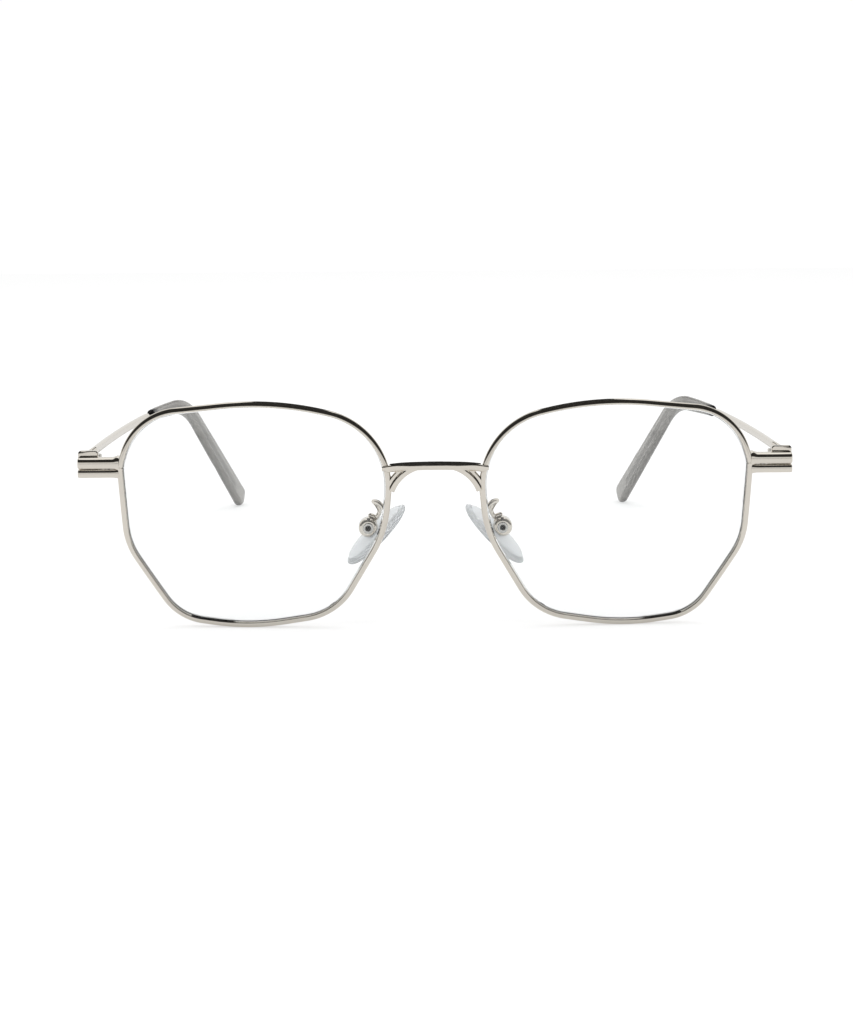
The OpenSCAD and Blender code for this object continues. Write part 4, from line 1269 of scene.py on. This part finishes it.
class EYEGLASSES_OT_stage(bpy.types.Operator):
    """White floor, soft lamps, surroundings and the camera"""

    bl_idname = "eyeglasses.stage"
    bl_label = "Stage"

    floor_half, floor_level = 0.9, -0.00002
    # Edge of the black card on the right, as places across, behind and above the glasses
    card_edge = ((1.2, -0.52, 0.4), (1.2, -0.36, 0.4), (0.3, -0.3, 0.4), (0.12, -0.2, 0.4),
                 (0.075, -0.04, 0.4), (0.075, 0.4, 0.4), (0.075, 0.4, 0.15))

    def execute(self, context):
        build_world()
        verts = [(x * self.floor_half, y * self.floor_half, self.floor_level)
                 for x, y in ((-1, -1), (1, -1), (1, 1), (-1, 1))]
        floor = solid("floor", (verts, [(0, 1, 2, 3)]))
        floor.data.materials.append(floor_finish())
        verts = [(side * x, y, z) for x, y, z in self.card_edge for side in (-1, 1)]
        faces = [(i, i + 1, i + 3, i + 2) for i in range(0, len(verts) - 2, 2)]
        card = solid("card", (verts, faces))
        card.data.materials.append(card_finish())
        card.visible_camera = card.visible_diffuse = card.visible_shadow = False
        self.lamp("overhead", (0.0, 0.05, 0.9), (0.9, 0.7), 3.2)
        self.lamp("front_left", (-0.7, -0.6, 0.55), (0.5, 0.5), 1.2)
        self.lamp("front_right", (0.7, -0.6, 0.55), (0.5, 0.5), 1.2)
        self.camera(context)
        return {"FINISHED"}

    def lamp(self, name, spot, size, power):
        """A soft lamp aimed at the glasses, which shows in no mirror or lens."""
        data = bpy.data.lights.new(name, "AREA")
        data.shape = "RECTANGLE"
        data.size, data.size_y = size
        data.energy = power
        lamp = bpy.data.objects.new(name, data)
        lamp.location = spot
        lamp.rotation_euler = (Vector((0, 0, 0.02)) - Vector(spot)).to_track_quat("-Z", "Y").to_euler()
        lamp.visible_glossy = False
        lamp.visible_transmission = False
        bpy.context.collection.objects.link(lamp)

    def camera(self, context):
        """The camera as it stood for the photograph."""
        data = bpy.data.cameras.new("view")
        data.sensor_width = 36
        data.lens = CAMERA_LENS
        data.clip_start, data.clip_end = 0.01, 50
        camera = bpy.data.objects.new("view", data)
        e, a, r = CAMERA_DOWN, CAMERA_TURN, CAMERA_ROLL
        forward = Vector((math.sin(a) * math.cos(e), math.cos(a) * math.cos(e), -math.sin(e)))
        right = Vector((math.cos(a), -math.sin(a), 0))
        up = right.cross(forward)
        across = right * math.cos(r) - up * math.sin(r)
        above = right * math.sin(r) + up * math.cos(r)
        turn = Matrix((across, above, -forward)).transposed()
        camera.matrix_world = Matrix.Translation(CAMERA_PLACE) @ turn.to_4x4()
        context.collection.objects.link(camera)
        context.scene.camera = camera
        context.scene.view_settings.view_transform = "Standard"


PIECES = (EYEGLASSES_OT_eye_wires, EYEGLASSES_OT_lenses, EYEGLASSES_OT_bridge, EYEGLASSES_OT_end_pieces,
          EYEGLASSES_OT_screws, EYEGLASSES_OT_hinges, EYEGLASSES_OT_temples, EYEGLASSES_OT_sleeves,
          EYEGLASSES_OT_pad_arms, EYEGLASSES_OT_nose_pads, EYEGLASSES_OT_stage)
GROUPS = {"eyeglasses_front": EYEGLASSES_PG_front, "eyeglasses_temples": EYEGLASSES_PG_temples,
          "eyeglasses_pads": EYEGLASSES_PG_pads, "eyeglasses_colours": EYEGLASSES_PG_colours}


class EYEGLASSES_PT_panel(bpy.types.Panel):
    """Lists the pieces and their sizes"""

    bl_idname = "EYEGLASSES_PT_panel"
    bl_label = "Eyeglasses"
    bl_space_type = "VIEW_3D"
    bl_region_type = "UI"
    bl_category = "Eyeglasses"

    def draw(self, context):
        for operator in PIECES:
            self.layout.operator(operator.bl_idname)
        for name, group in GROUPS.items():
            box = self.layout.box()
            for prop in group.__annotations__:
                box.prop(getattr(context.scene, name), prop)


def register():
    for name, group in GROUPS.items():
        bpy.utils.register_class(group)
        setattr(bpy.types.Scene, name, PointerProperty(type=group))
    for cls in (*PIECES, EYEGLASSES_PT_panel):
        bpy.utils.register_class(cls)


def unregister():
    for cls in (EYEGLASSES_PT_panel, *reversed(PIECES)):
        bpy.utils.unregister_class(cls)
    for name, group in GROUPS.items():
        delattr(bpy.types.Scene, name)
        bpy.utils.unregister_class(group)


def main():
    register()
    for operator in PIECES:
        group, name = operator.bl_idname.split(".")
        getattr(getattr(bpy.ops, group), name)()


if __name__ == "__main__":
    main()
